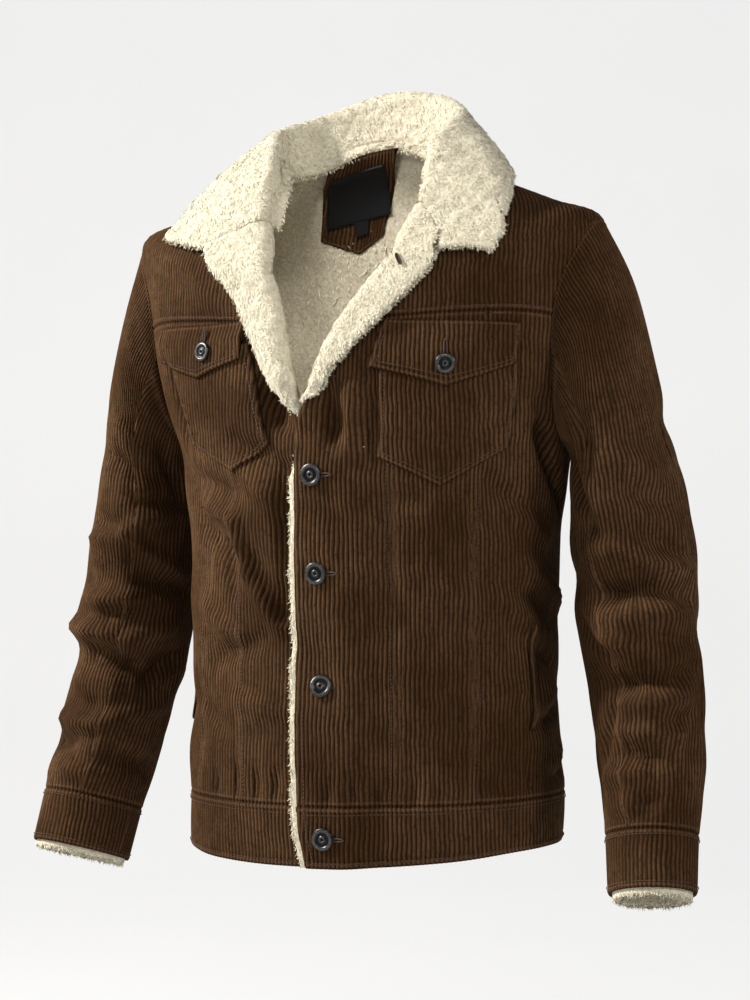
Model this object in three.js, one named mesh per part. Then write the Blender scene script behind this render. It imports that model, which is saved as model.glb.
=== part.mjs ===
// Sherpa lined corduroy jacket, worn form with no wearer inside.
// Millimetres, +Z up. The wearer faces -Y and the wearer's left is +X.
// The origin is where the wearer holds it: the middle of the neck, level with the side neck points.
import * as THREE from 'three';

const DEG = Math.PI / 180;

// Cloth and seams
const CORDUROY = 2;
const LINING_PILE = 5;
const COLLAR_PILE = 7;
const CUFF_PILE = 4.5;
const SEAM_HALF_GAP = 0.15;
const LAYER_GAP = 0.3;
const LINING_DEPTH = CORDUROY + LAYER_GAP;

// Landmarks up the body, in ring numbers of the BODY table
const HEM = 0;
const WAIST_SEAM = 1;
const ARMPIT = 4.15;
const ARM_MIDDLE = 5.55;
const SHOULDER = 7;
const NECK = 10;
const ARMHOLE_HALF_ANGLE = 25;

// Rings of the body from hem to neck. zFront, zSide and zBack are the heights of one ring.
const BODY = {
  columns: ['zFront', 'zSide', 'zBack', 'xMid', 'halfWidth', 'yFront', 'ySide', 'yBack', 'roundness'],
  rows: [
    [-684, -673, -656, 0, 197, -100, 26, 152, 2.15],
    [-624, -621, -614, 0, 199, -102, 26, 152, 2.15],
    [-520, -520, -518, 0, 194, -103, 28, 152, 2.15],
    [-400, -400, -396, 0, 193, -104, 28, 152, 2.15],
    [-300, -285, -280, 0, 208, -107, 23, 152, 2.15],
    [-215, -190, -190, 0, 236, -108, 20, 152, 2.1],
    [-160, -118, -112, 0, 248, -106, 14, 138, 2.0],
    [-125, -60, -62, 0, 253, -102, 9, 114, 1.95],
    [-110, -40, -26, 1, 205, -99, 4, 91, 2.0],
    [-98, -17, 4, 3, 146, -96, -2, 71, 2.0],
    [-88, 6, 28, 8, 90, -92, -8, 52, 2.0],
  ],
};
const HEM_TILT = { drop: 8, fadesAt: 2.5, per: 200 };

// Rings of the wearer's left sleeve after the armhole. Radii go out, in, front and back of the centre.
const SLEEVE = {
  columns: ['x', 'y', 'z', 'pitch', 'turn', 'outer', 'inner', 'front', 'back', 'skew'],
  rows: [
    [245, 22, -191, 20, 2, 84, 91, 62, 64, 0],
    [255, 28, -231, 35, 0, 63, 66, 68, 70, 0],
    [260, 34, -273, 61, -3, 52, 48, 71, 71, 1],
    [265, 37, -335, 86, -3, 60, 51, 68, 70, -1],
    [280, 33, -430, 87, 4, 61, 59, 60, 61, 1],
    [295, 25, -520, 84, 12, 55, 55, 54, 55, 2],
    [306, 6, -600, 84, 15, 50, 50, 50, 51, 4],
    [311, -7, -645, 84, 16, 46, 46, 47, 47, 7],
    [317, -22, -698, 84, 17, 44, 44, 45, 45, 9],
  ],
};
const RIGHT_FOREARM = { swell: 8, from: 400, to: 620 };
const SLEEVE_COLUMNS = 20;
const CUFF_SEAM = 8;
const CUFF_END = 9;

function catmullRom(a, b, c, d, t) {
  const linear = c - a;
  const square = 2 * a - 5 * b + 4 * c - d;
  const cube = 3 * b - a - 3 * c + d;
  return 0.5 * (2 * b + linear * t + square * t * t + cube * t * t * t);
}

// A smooth row of a table at a ring number that need not be whole
function ringAt(table, ring) {
  const last = table.rows.length - 1;
  const place = Math.min(Math.max(ring, 0), last - 1e-9);
  const i = Math.floor(place);
  const b = table.rows[i];
  const c = table.rows[i + 1];
  const a = table.rows[i - 1] ?? b.map((value, k) => 2 * value - c[k]);
  const d = table.rows[i + 2] ?? c.map((value, k) => 2 * value - b[k]);
  const row = {};
  table.columns.forEach((name, k) => {
    row[name] = catmullRom(a[k], b[k], c[k], d[k], place - i);
  });
  return row;
}

// A smooth value through pairs of place and value
function curveAt(pairs, place) {
  const last = pairs.length - 1;
  const x = Math.min(Math.max(place, pairs[0][0]), pairs[last][0]);
  let i = 0;
  while (i < last - 1 && x > pairs[i + 1][0]) {
    i += 1;
  }
  const slope = (k) => {
    const low = pairs[Math.max(k - 1, 0)];
    const high = pairs[Math.min(k + 1, last)];
    return (high[1] - low[1]) / (high[0] - low[0]);
  };
  const span = pairs[i + 1][0] - pairs[i][0];
  const t = (x - pairs[i][0]) / span;
  const t2 = t * t;
  const t3 = t2 * t;
  const start = pairs[i][1] * (2 * t3 - 3 * t2 + 1) + slope(i) * span * (t3 - 2 * t2 + t);
  const end = pairs[i + 1][1] * (3 * t2 - 2 * t3) + slope(i + 1) * span * (t3 - t2);
  return start + end;
}

const mix = (a, b, t) => a + (b - a) * t;

function smooth(low, high, x) {
  const t = Math.min(Math.max((x - low) / (high - low), 0), 1);
  return t * t * (3 - 2 * t);
}

// Folds. Each is a soft ridge (depth above 0) or trough (below 0) along a line on the surface:
// around in degrees, then height in mm, at its start and its end.
const FOLD_COLUMNS = ['aroundStart', 'heightStart', 'aroundEnd', 'heightEnd', 'width', 'depth'];
const FOLD_SHARE_AT_ENDS = 0.55;
const BODY_FOLDS = [
  [-40, -312, -26, -350, 18, -5],
  [-24, -395, -4, -445, 20, 5],
  [-14, -545, 4, -505, 18, 5],
  [-2, -600, 8, -575, 14, 4],
  [-86, -222, -81, -268, 16, -4],
  [-104, -195, -97, -250, 18, -2.5],
  [-126, -300, -116, -330, 18, -4],
  [-150, -290, -128, -360, 22, -6],
  [-160, -420, -136, -455, 22, 5],
  [-168, -520, -140, -560, 20, -5],
  [30, -330, 62, -360, 26, -6],
  [24, -420, 70, -405, 26, 5],
  [40, -505, 86, -530, 26, -5],
  [148, -335, 112, -372, 26, -6],
  [158, -430, 118, -415, 26, 5],
  [142, -520, 98, -545, 26, -5],
  [46, -150, 74, -215, 26, -4],
  [136, -150, 108, -215, 26, -4],
];
const MM_PER_BODY_DEGREE = 3;
const BODY_FOLD_FADE = 0.6;

const SLEEVE_FOLDS = {
  left: [
    [60, -425, 150, -408, 20, -8],
    [20, -450, 120, -462, 22, 6],
    [70, -505, 140, -500, 20, -7],
    [30, -490, 75, -525, 20, 5],
    [55, -580, 110, -572, 20, -5],
    [80, -610, 130, -625, 18, 4],
    [150, -330, 100, -380, 20, -6],
    [200, -430, 290, -415, 18, -6],
    [210, -500, 300, -520, 18, 5],
    [310, -470, 380, -440, 18, -5],
  ],
  right: [
    [40, -415, 130, -400, 20, -7],
    [10, -455, 130, -440, 22, 7],
    [30, -495, 120, -500, 20, -7],
    [20, -590, 60, -560, 18, -5],
    [150, -350, 80, -330, 20, 5],
    [160, -330, 110, -390, 18, -6],
    [200, -440, 290, -425, 18, -6],
    [210, -510, 300, -530, 18, 5],
    [310, -470, 380, -445, 18, -5],
  ],
};
const MM_PER_SLEEVE_DEGREE = 1;
const SLEEVE_FOLD_FADE = { from: 1, full: 3, aboveCuff: 0.5 };

function foldHeight(folds, around, height, mmPerDegree) {
  let total = 0;
  for (const row of folds) {
    const fold = Object.fromEntries(FOLD_COLUMNS.map((name, k) => [name, row[k]]));
    const dx = (fold.aroundEnd - fold.aroundStart) * mmPerDegree;
    const dz = fold.heightEnd - fold.heightStart;
    const px = (around - fold.aroundStart) * mmPerDegree;
    const pz = height - fold.heightStart;
    const along = (px * dx + pz * dz) / (dx * dx + dz * dz);
    const held = Math.min(Math.max(along, 0), 1);
    const off = Math.hypot(px - held * dx, pz - held * dz) / fold.width;
    const swell = mix(FOLD_SHARE_AT_ENDS, 1, Math.sin(Math.PI * held));
    total += fold.depth * swell * Math.exp(-off * off);
  }
  return total;
}

// The plain body surface before folds: around in degrees, 0 at the wearer's left side, -90 in front
function bodyForm(around, ring) {
  const row = ringAt(BODY, ring);
  const c = Math.cos(around * DEG);
  const s = Math.sin(around * DEG);
  const power = 2 / row.roundness;
  const x = row.xMid + row.halfWidth * Math.sign(c) * Math.abs(c) ** power;
  const reach = s < 0 ? row.yFront - row.ySide : row.yBack - row.ySide;
  const rise = s < 0 ? row.zFront - row.zSide : row.zBack - row.zSide;
  const tilt = HEM_TILT.drop * (1 - Math.min(ring / HEM_TILT.fadesAt, 1)) / HEM_TILT.per;
  return new THREE.Vector3(x, row.ySide + reach * Math.abs(s) ** power, row.zSide + rise * s * s + tilt * x);
}

// How far apart the points lie that a slope is taken between
const SLOPE_STEP = { around: 0.6, ring: 0.02, turn: 1, station: 0.04, edge: 0.05, collar: 0.1 };

function normalOf(form, around, ring) {
  const du = SLOPE_STEP.around;
  const dv = SLOPE_STEP.ring;
  const ringLow = Math.max(ring - dv, 0);
  const a = form(around + du, ring).sub(form(around - du, ring));
  const b = form(around, ring + dv).sub(form(around, ringLow));
  return a.cross(b).normalize();
}

// The wearer's left front laps over the right one and is lifted clear of it near the middle
const OVERLAP = { lift: 9, from: 72, full: 30, fadeRing: 4.6, goneRing: 5.4 };

function overlapLift(x, ring) {
  const across = 1 - smooth(OVERLAP.full, OVERLAP.from, x);
  return OVERLAP.lift * across * (1 - smooth(OVERLAP.fadeRing, OVERLAP.goneRing, ring));
}

function wrap(around) {
  if (around < -180) return around + 360;
  return around > 180 ? around - 360 : around;
}

// The finished outer face of the body. lapped is true on the wearer's left front.
function bodyPoint(around, ring, lapped = false, extra = 0) {
  const point = bodyForm(around, ring);
  const normal = normalOf(bodyForm, around, ring);
  const fade = 1 - smooth(SHOULDER - BODY_FOLD_FADE, SHOULDER + BODY_FOLD_FADE, ring);
  let out = fade * foldHeight(BODY_FOLDS, wrap(around), point.z, MM_PER_BODY_DEGREE);
  if (lapped) out += overlapLift(point.x, ring);
  return point.addScaledVector(normal, out + extra);
}

// The armhole, round the sleeve: 0 at the shoulder, 90 in front, 180 at the armpit
function armhole(turn) {
  const c = Math.cos(turn * DEG);
  const reach = c > 0 ? SHOULDER - ARM_MIDDLE : ARM_MIDDLE - ARMPIT;
  return { around: -ARMHOLE_HALF_ANGLE * Math.sin(turn * DEG), ring: ARM_MIDDLE + reach * c };
}

function sleeveRingPoint(row, turn) {
  const pitch = row.pitch * DEG;
  const swing = row.turn * DEG;
  const up = new THREE.Vector3(Math.sin(pitch), 0, Math.cos(pitch));
  const front = new THREE.Vector3(
    -Math.sin(swing) * Math.cos(pitch), -Math.cos(swing), Math.sin(swing) * Math.sin(pitch));
  const c = Math.cos(turn * DEG);
  const s = Math.sin(turn * DEG);
  const a = (c > 0 ? row.outer : row.inner) * c + row.skew * s;
  const b = (s > 0 ? row.front : row.back) * s;
  return new THREE.Vector3(row.x, row.y, row.z).addScaledVector(up, a).addScaledVector(front, b);
}

// Sleeve surface. station 0 is the armhole, 1 the first row of SLEEVE and so on.
function sleeveForm(turn, station) {
  const rings = SLEEVE.rows.length;
  const place = Math.min(Math.max(station, 0), rings - 1e-9);
  const i = Math.floor(place);
  const ringPoint = (k) => {
    if (k === 0) {
      const at = armhole(turn);
      return bodyForm(at.around, at.ring);
    }
    const row = {};
    SLEEVE.columns.forEach((name, n) => {
      row[name] = SLEEVE.rows[k - 1][n];
    });
    return sleeveRingPoint(row, turn);
  };
  const b = ringPoint(i);
  const c = ringPoint(i + 1);
  const a = i > 0 ? ringPoint(i - 1) : b.clone().multiplyScalar(2).sub(c);
  const d = i + 2 <= rings ? ringPoint(i + 2) : c.clone().multiplyScalar(2).sub(b);
  const t = place - i;
  return new THREE.Vector3(
    catmullRom(a.x, b.x, c.x, d.x, t),
    catmullRom(a.y, b.y, c.y, d.y, t),
    catmullRom(a.z, b.z, c.z, d.z, t));
}

function sleevePoint(turn, station, side) {
  const point = sleeveForm(turn, station);
  const before = sleeveForm(turn - SLOPE_STEP.turn, station);
  const after = sleeveForm(turn + SLOPE_STEP.turn, station);
  const below = sleeveForm(turn, Math.min(station + SLOPE_STEP.station, SLEEVE.rows.length));
  const above = sleeveForm(turn, Math.max(station - SLOPE_STEP.station, 0));
  const normal = after.sub(before).cross(below.sub(above)).normalize();
  const spot = normal.dot(point.clone().sub(sleeveForm(turn + 180, station)));
  if (spot < 0) normal.negate();
  const fade = smooth(SLEEVE_FOLD_FADE.from, SLEEVE_FOLD_FADE.full, station)
    * (1 - smooth(CUFF_SEAM - SLEEVE_FOLD_FADE.aboveCuff, CUFF_SEAM, station));
  const folds = side > 0 ? SLEEVE_FOLDS.left : SLEEVE_FOLDS.right;
  const turned = turn < 0 ? turn + 360 : turn;
  const both = foldHeight(folds, turned, point.z, MM_PER_SLEEVE_DEGREE)
    + foldHeight(folds, turned + (turned < 180 ? 360 : -360), point.z, MM_PER_SLEEVE_DEGREE);
  point.addScaledVector(normal, fade * both);
  if (side < 0) {
    const outerSide = Math.max(0, Math.cos(turn * DEG));
    point.x += RIGHT_FOREARM.swell * smooth(RIGHT_FOREARM.from, RIGHT_FOREARM.to, -point.z) * outerSide;
  }
  point.x *= side;
  return point;
}

// Rows of cloth up the body. At the side each row between armpit and shoulder meets one
// column of the sleeve; towards the middle it rises so that the yoke seam runs level.
const ROWS_BELOW_ARM = 10;
const ROWS_AT_ARM = SLEEVE_COLUMNS / 2;
const ROWS_ABOVE_ARM = 8;
const WAIST_ROWS = 2;
const YOKE_RISE = 0.5;
const sideRings = [];
for (let i = 0; i < WAIST_ROWS; i += 1) {
  sideRings.push(mix(HEM, WAIST_SEAM, i / WAIST_ROWS));
}
for (let i = 0; i < ROWS_BELOW_ARM; i += 1) {
  sideRings.push(mix(WAIST_SEAM, ARMPIT, i / ROWS_BELOW_ARM));
}
for (let i = 0; i < ROWS_AT_ARM; i += 1) {
  sideRings.push(armhole(180 - i * 180 / ROWS_AT_ARM).ring);
}
for (let i = 0; i <= ROWS_ABOVE_ARM; i += 1) {
  sideRings.push(mix(SHOULDER, NECK, i / ROWS_ABOVE_ARM));
}
const WAIST_ROW = WAIST_ROWS;
const ARMPIT_ROW = WAIST_ROW + ROWS_BELOW_ARM;
const YOKE_ROW = ARMPIT_ROW + ROWS_AT_ARM / 2;
const SHOULDER_ROW = ARMPIT_ROW + ROWS_AT_ARM;
const NECK_ROW = SHOULDER_ROW + ROWS_ABOVE_ARM;

function middleRing(ring) {
  const half = SHOULDER - ARM_MIDDLE;
  const away = (ring - ARM_MIDDLE) / half;
  return ring + YOKE_RISE * Math.max(0, 1 - away * away);
}

// Where the side of the body is: the side seam, then the armhole, then the shoulder seam
const SIDE_SEAM_AT_HEM = 9;
function sideAround(row, back) {
  const ring = sideRings[row];
  if (row <= ARMPIT_ROW) return SIDE_SEAM_AT_HEM * (1 - ring / ARMPIT);
  if (row >= SHOULDER_ROW) return 0;
  const turn = 180 - (row - ARMPIT_ROW) * 180 / ROWS_AT_ARM;
  return (back ? 1 : -1) * ARMHOLE_HALF_ANGLE * Math.sin(turn * DEG);
}

// Edges and seams of the fronts, as pairs of ring and degrees around. The right front's are
// given as if it were a left one, and mirrored when it is made.
const FRONT = {
  left: {
    edge: [[0, -91], [0.5, -92.2], [1, -93], [2, -93.4], [4.1, -93], [4.45, -92], [4.7, -90.6], [5.04, -88],
      [5.62, -84], [6.54, -77], [7.5, -70], [8.3, -62.5], [8.8, -56], [9.3, -42], [9.65, -30], [10, -16]],
    innerSeam: [[0, -66], [1, -66], [2, -65], [3, -66], [3.9, -67.5], [6.1, -69]],
    outerSeam: [[0, -42], [1, -42], [2, -40], [3, -40], [3.9, -42], [6.1, -46]],
  },
  right: {
    edge: [[0, -96.2], [1, -96.3], [4.05, -96], [4.3, -88], [4.56, -83.7], [4.61, -83.2], [5.1, -82.8],
      [5.62, -82.4], [6.52, -79.4], [7.5, -76], [8.5, -70], [9.1, -63], [9.5, -52], [9.75, -43], [10, -32]],
    innerSeam: [[0, -66], [1, -66], [2, -64], [3, -62], [3.9, -62], [6.1, -64]],
    outerSeam: [[0, -42], [1, -42], [2, -43], [3, -48], [3.9, -50], [6.1, -46]],
  },
};
const FRONT_COLUMNS = { centre: 4, middle: 3, side: 5 };
const LEVEL_SEAM_POWER = 1.5;
const A_COLUMN = FRONT_COLUMNS.centre;
const B_COLUMN = A_COLUMN + FRONT_COLUMNS.middle;
const SIDE_COLUMN = B_COLUMN + FRONT_COLUMNS.side;

// One vertex of a front: its degrees around and ring, for a column and a row of cloth
function frontPlace(which, column, row) {
  const marks = FRONT[which];
  const ringSide = sideRings[row];
  const ringMiddle = middleRing(ringSide);
  const edge = curveAt(marks.edge, ringMiddle);
  const side = sideAround(row, false);
  let a = curveAt(marks.innerSeam, ringMiddle);
  let b = curveAt(marks.outerSeam, ringMiddle);
  if (row > YOKE_ROW) {
    const top = middleRing(sideRings[YOKE_ROW]);
    const edgeTop = curveAt(marks.edge, top);
    const sideTop = sideAround(YOKE_ROW, false);
    a = mix(edge, side, (curveAt(marks.innerSeam, top) - edgeTop) / (sideTop - edgeTop));
    b = mix(edge, side, (curveAt(marks.outerSeam, top) - edgeTop) / (sideTop - edgeTop));
  }
  let around;
  if (column <= A_COLUMN) around = mix(edge, a, column / FRONT_COLUMNS.centre);
  else if (column <= B_COLUMN) around = mix(a, b, (column - A_COLUMN) / FRONT_COLUMNS.middle);
  else around = mix(b, side, (column - B_COLUMN) / FRONT_COLUMNS.side);
  const across = (around - edge) / (side - edge);
  return { around, ring: mix(ringMiddle, ringSide, across ** LEVEL_SEAM_POWER) };
}

function frontPoint(which, around, ring, extra = 0) {
  if (which === 'left') return bodyPoint(around, ring, true, extra);
  return bodyPoint(-180 - around, ring, false, extra);
}

function makeGrid(rows, columns, pointAt) {
  const grid = [];
  for (let i = 0; i <= rows; i += 1) {
    const line = [];
    for (let j = 0; j <= columns; j += 1) line.push(pointAt(i, j));
    grid.push(line);
  }
  return grid;
}

function frontGrid(which, row0, row1, column0, column1) {
  return makeGrid(row1 - row0, column1 - column0, (i, j) => {
    const place = frontPlace(which, column0 + j, row0 + i);
    return frontPoint(which, place.around, place.ring);
  });
}

const BACK_COLUMNS = 18;
function backPlace(column, row) {
  const side = sideAround(row, true);
  return { around: mix(side, 180 - side, column / BACK_COLUMNS), ring: sideRings[row] };
}
function backGrid(row0, row1, column0 = 0, column1 = BACK_COLUMNS) {
  return makeGrid(row1 - row0, column1 - column0, (i, j) => {
    const place = backPlace(column0 + j, row0 + i);
    return bodyPoint(place.around, place.ring);
  });
}

// Rows down the sleeve, closer where the elbow creases
const SLEEVE_STATIONS = [0, 0.6, 1.2, 1.8, 2.4, 3, 3.4, 3.8, 4.15, 4.45, 4.7, 4.95, 5.2, 5.45, 5.7, 6, 6.35,
  6.7, 7.05, 7.5, 8];
const SLEEVE_FRONT_SEAM = 6;
const SLEEVE_BACK_SEAM = 14;
const STEP_ROUND = 360 / SLEEVE_COLUMNS;

function sleeveGrid(side, column0, column1, stations) {
  return makeGrid(stations.length - 1, column1 - column0, (i, j) => {
    const turn = ((column0 + j) % SLEEVE_COLUMNS) * STEP_ROUND;
    return sleevePoint(turn, stations[i], side);
  });
}

// Normals are shared by all panels that meet at a seam, so that their walls part cleanly
const keyOf = (p) => `${p.x.toFixed(2)},${p.y.toFixed(2)},${p.z.toFixed(2)}`;

function addNormals(store, grid, flip) {
  for (let i = 0; i + 1 < grid.length; i += 1) {
    for (let j = 0; j + 1 < grid[0].length; j += 1) {
      const corners = [grid[i][j], grid[i][j + 1], grid[i + 1][j + 1], grid[i + 1][j]];
      const face = corners[2].clone().sub(corners[0]).cross(corners[3].clone().sub(corners[1]));
      if (flip) face.negate();
      for (const corner of corners) {
        const key = keyOf(corner);
        if (!store.has(key)) store.set(key, new THREE.Vector3());
        store.get(key).add(face);
      }
    }
  }
}

function gridNormals(store, grid) {
  return grid.map((line) => line.map((p) => store.get(keyOf(p)).clone().normalize()));
}

// Each panel stops short of its seams by half the seam gap
function pullEdges(grid, closedRound) {
  const lastRow = grid.length - 1;
  const lastColumn = grid[0].length - 1;
  return grid.map((line, i) => line.map((p, j) => {
    const moved = p.clone();
    const pull = (other) => {
      const way = other.clone().sub(p).normalize();
      moved.addScaledVector(way, SEAM_HALF_GAP);
    };
    if (i === 0) pull(grid[1][j]);
    if (i === lastRow) pull(grid[lastRow - 1][j]);
    if (!closedRound && j === 0) pull(line[1]);
    if (!closedRound && j === lastColumn) pull(line[lastColumn - 1]);
    return moved;
  }));
}

function offsetGrid(grid, normals, distance) {
  return grid.map((line, i) => line.map((p, j) => {
    const far = typeof distance === 'function' ? distance(i, j) : distance;
    return p.clone().addScaledVector(normals[i][j], far);
  }));
}

// A closed wall between two grids of the same size. A tube's last column is its first one.
function wallGeometry(face, back, closedRound = false) {
  const rows = face.length;
  const columns = closedRound ? face[0].length - 1 : face[0].length;
  const positions = [];
  for (const grid of [face, back]) {
    for (const line of grid) {
      for (let j = 0; j < columns; j += 1) positions.push(line[j].x, line[j].y, line[j].z);
    }
  }
  const at = (layer, i, j) => layer * rows * columns + i * columns + (j % columns);
  const index = [];
  const quad = (a, b, c, d) => index.push(a, b, c, a, c, d);
  const spans = closedRound ? columns : columns - 1;
  for (let i = 0; i + 1 < rows; i += 1) {
    for (let j = 0; j < spans; j += 1) {
      quad(at(0, i, j), at(0, i, j + 1), at(0, i + 1, j + 1), at(0, i + 1, j));
      quad(at(1, i, j), at(1, i + 1, j), at(1, i + 1, j + 1), at(1, i, j + 1));
    }
  }
  for (let j = 0; j < spans; j += 1) {
    quad(at(0, 0, j + 1), at(0, 0, j), at(1, 0, j), at(1, 0, j + 1));
    quad(at(0, rows - 1, j + 1), at(1, rows - 1, j + 1), at(1, rows - 1, j), at(0, rows - 1, j));
  }
  if (!closedRound) {
    for (let i = 0; i + 1 < rows; i += 1) {
      quad(at(0, i, 0), at(0, i + 1, 0), at(1, i + 1, 0), at(1, i, 0));
      quad(at(0, i, spans), at(1, i, spans), at(1, i + 1, spans), at(0, i + 1, spans));
    }
  }
  const geometry = new THREE.BufferGeometry();
  geometry.setAttribute('position', new THREE.Float32BufferAttribute(positions, 3));
  geometry.setIndex(index);
  if (signedVolume(positions, index) < 0) {
    for (let k = 0; k < index.length; k += 3) {
      const first = index[k];
      index[k] = index[k + 1];
      index[k + 1] = first;
    }
    geometry.setIndex(index);
  }
  geometry.computeVertexNormals();
  return geometry;
}

function signedVolume(positions, index) {
  let total = 0;
  const p = (k) => new THREE.Vector3(positions[3 * k], positions[3 * k + 1], positions[3 * k + 2]);
  for (let k = 0; k < index.length; k += 3) {
    total += p(index[k]).dot(p(index[k + 1]).cross(p(index[k + 2])));
  }
  return total / 6;
}

// Materials
function finish(color, roughness, metalness = 0) {
  return new THREE.MeshStandardMaterial({ color, roughness, metalness });
}
const corduroy = () => finish(0x3f2717, 0.9);
const pile = () => finish(0xe6d9b8, 0.95);
const liningPile = () => finish(0xcdb894, 0.95);
const darkMetal = () => finish(0x2b2b2e, 0.45, 0.8);
const satin = () => finish(0x15151a, 0.55);

const jacket = new THREE.Group();
function addPiece(name, geometry, material) {
  const mesh = new THREE.Mesh(geometry, material);
  mesh.name = name;
  jacket.add(mesh);
  return mesh;
}

const CUFF_STATIONS = [CUFF_SEAM, mix(CUFF_SEAM, CUFF_END, 0.5), CUFF_END];

// The shell: every corduroy panel that shares seams with another one
const shellPanels = [];
for (const which of ['left', 'right']) {
  const flip = which === 'right';
  const side = which === 'left' ? 1 : -1;
  const panel = (name, grid, round = false) => shellPanels.push({ name, grid, flipped: flip, round });
  panel(`waistband_${which}`, frontGrid(which, 0, WAIST_ROW, 0, SIDE_COLUMN));
  panel(`front_centre_${which}`, frontGrid(which, WAIST_ROW, YOKE_ROW, 0, A_COLUMN));
  panel(`front_middle_${which}`, frontGrid(which, WAIST_ROW, YOKE_ROW, A_COLUMN, B_COLUMN));
  panel(`front_side_${which}`, frontGrid(which, WAIST_ROW, YOKE_ROW, B_COLUMN, SIDE_COLUMN));
  panel(`front_yoke_${which}`, frontGrid(which, YOKE_ROW, NECK_ROW, 0, SIDE_COLUMN));
  const overSeam = SLEEVE_COLUMNS + SLEEVE_FRONT_SEAM;
  panel(`sleeve_top_${which}`, sleeveGrid(side, SLEEVE_BACK_SEAM, overSeam, SLEEVE_STATIONS));
  panel(`sleeve_under_${which}`, sleeveGrid(side, SLEEVE_FRONT_SEAM, SLEEVE_BACK_SEAM, SLEEVE_STATIONS));
  panel(`cuff_${which}`, sleeveGrid(side, 0, SLEEVE_COLUMNS, CUFF_STATIONS), true);
}
shellPanels.push({ name: 'waistband_back', grid: backGrid(0, WAIST_ROW), flipped: false });
shellPanels.push({ name: 'back', grid: backGrid(WAIST_ROW, YOKE_ROW), flipped: false });
shellPanels.push({ name: 'back_yoke', grid: backGrid(YOKE_ROW, NECK_ROW), flipped: false });

const shellNormals = new Map();
for (const panel of shellPanels) addNormals(shellNormals, panel.grid, panel.flipped);
for (const panel of shellPanels) {
  const normals = gridNormals(shellNormals, panel.grid);
  const outer = pullEdges(panel.grid, panel.round);
  const inner = offsetGrid(outer, normals, -CORDUROY);
  addPiece(panel.name, wallGeometry(outer, inner, panel.round), corduroy());
}

// Lining of the back, as far down as the open neck shows it. It hangs straighter than the back.
const LINING_BACK = { footRow: WAIST_ROW + 7, sideColumns: 2, hang: 20, hangFrom: 5, hangMost: 7.4 };
function liningHang(around, ring) {
  const rise = smooth(LINING_BACK.hangFrom, LINING_BACK.hangMost, ring);
  const fade = 1 - smooth(LINING_BACK.hangMost, NECK, ring);
  return LINING_BACK.hang * rise * fade * Math.sin(around * DEG) ** 3;
}
function addBackLining() {
  const last = BACK_COLUMNS - LINING_BACK.sideColumns;
  const grid = backGrid(LINING_BACK.footRow, NECK_ROW, LINING_BACK.sideColumns, last);
  const normals = gridNormals(shellNormals, grid);
  const trimmed = pullEdges(grid, false);
  const hung = trimmed.map((line, i) => line.map((p, j) => {
    const place = backPlace(LINING_BACK.sideColumns + j, LINING_BACK.footRow + i);
    return p.clone().setY(p.y - liningHang(place.around, place.ring));
  }));
  const outer = offsetGrid(hung, normals, -LINING_DEPTH);
  const inner = offsetGrid(hung, normals, -LINING_DEPTH - LINING_PILE);
  addPiece('lining_back', wallGeometry(outer, inner), liningPile());
}
addBackLining();

// Pile facing behind the left front's edge. It stands a little past the edge of the shell.
const FACING = { past: 6, columns: 2, topRow: ARMPIT_ROW + 2 };
function addFrontFacing() {
  const grid = makeGrid(FACING.topRow, FACING.columns + 1, (i, j) => {
    if (j > 0) {
      const place = frontPlace('left', j - 1, i);
      return frontPoint('left', place.around, place.ring);
    }
    const edge = frontPlace('left', 0, i);
    const next = frontPlace('left', 1, i);
    const from = frontPoint('left', edge.around, edge.ring);
    const way = from.clone().sub(frontPoint('left', next.around, next.ring)).normalize();
    return from.addScaledVector(way, FACING.past);
  });
  const store = new Map();
  addNormals(store, grid, false);
  const normals = gridNormals(store, grid);
  for (let i = 0; i < grid.length; i += 1) {
    for (let j = 1; j <= FACING.columns + 1; j += 1) {
      normals[i][j] = shellNormals.get(keyOf(grid[i][j])).clone().normalize();
    }
    normals[i][0] = normals[i][1].clone();
  }
  const outer = offsetGrid(grid, normals, -LINING_DEPTH);
  const inner = offsetGrid(grid, normals, -LINING_DEPTH - LINING_PILE);
  addPiece('front_facing_left', wallGeometry(outer, inner), pile());
}
addFrontFacing();

// Cuff linings stand a little past the cuffs
const CUFF_LINING_PAST = 6;
for (const which of ['left', 'right']) {
  const grid = sleeveGrid(which === 'left' ? 1 : -1, 0, SLEEVE_COLUMNS, CUFF_STATIONS);
  const normals = gridNormals(shellNormals, grid);
  const last = grid.length - 1;
  grid.push(grid[last].map((p, j) => {
    const way = p.clone().sub(grid[last - 1][j]).normalize();
    return p.clone().addScaledVector(way, CUFF_LINING_PAST);
  }));
  normals.push(normals[last]);
  const outer = offsetGrid(grid, normals, -LINING_DEPTH);
  const inner = offsetGrid(grid, normals, -LINING_DEPTH - CUFF_PILE);
  addPiece(`cuff_lining_${which}`, wallGeometry(outer, inner, true), pile());
}

// Lapels and collar turn over at a roll. The roll's inner radius and centre are given from the
// shell's edge; a lapel starts inside the front, and the collar rises as a stand first.
const ROLL = { radius: 3.9, setBack: 2.2, below: 1 };
const INSIDE_REACH = { atTip: 5, full: 12, stations: 3 };
const ROLL_STEPS = { lapel: 4, collar: 2 };
const FALL_STEPS = [0.13, 0.3, 0.48, 0.66, 0.83, 1];
const FALL_CLEAR = { roll: 3, edge: 5 };

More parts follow.
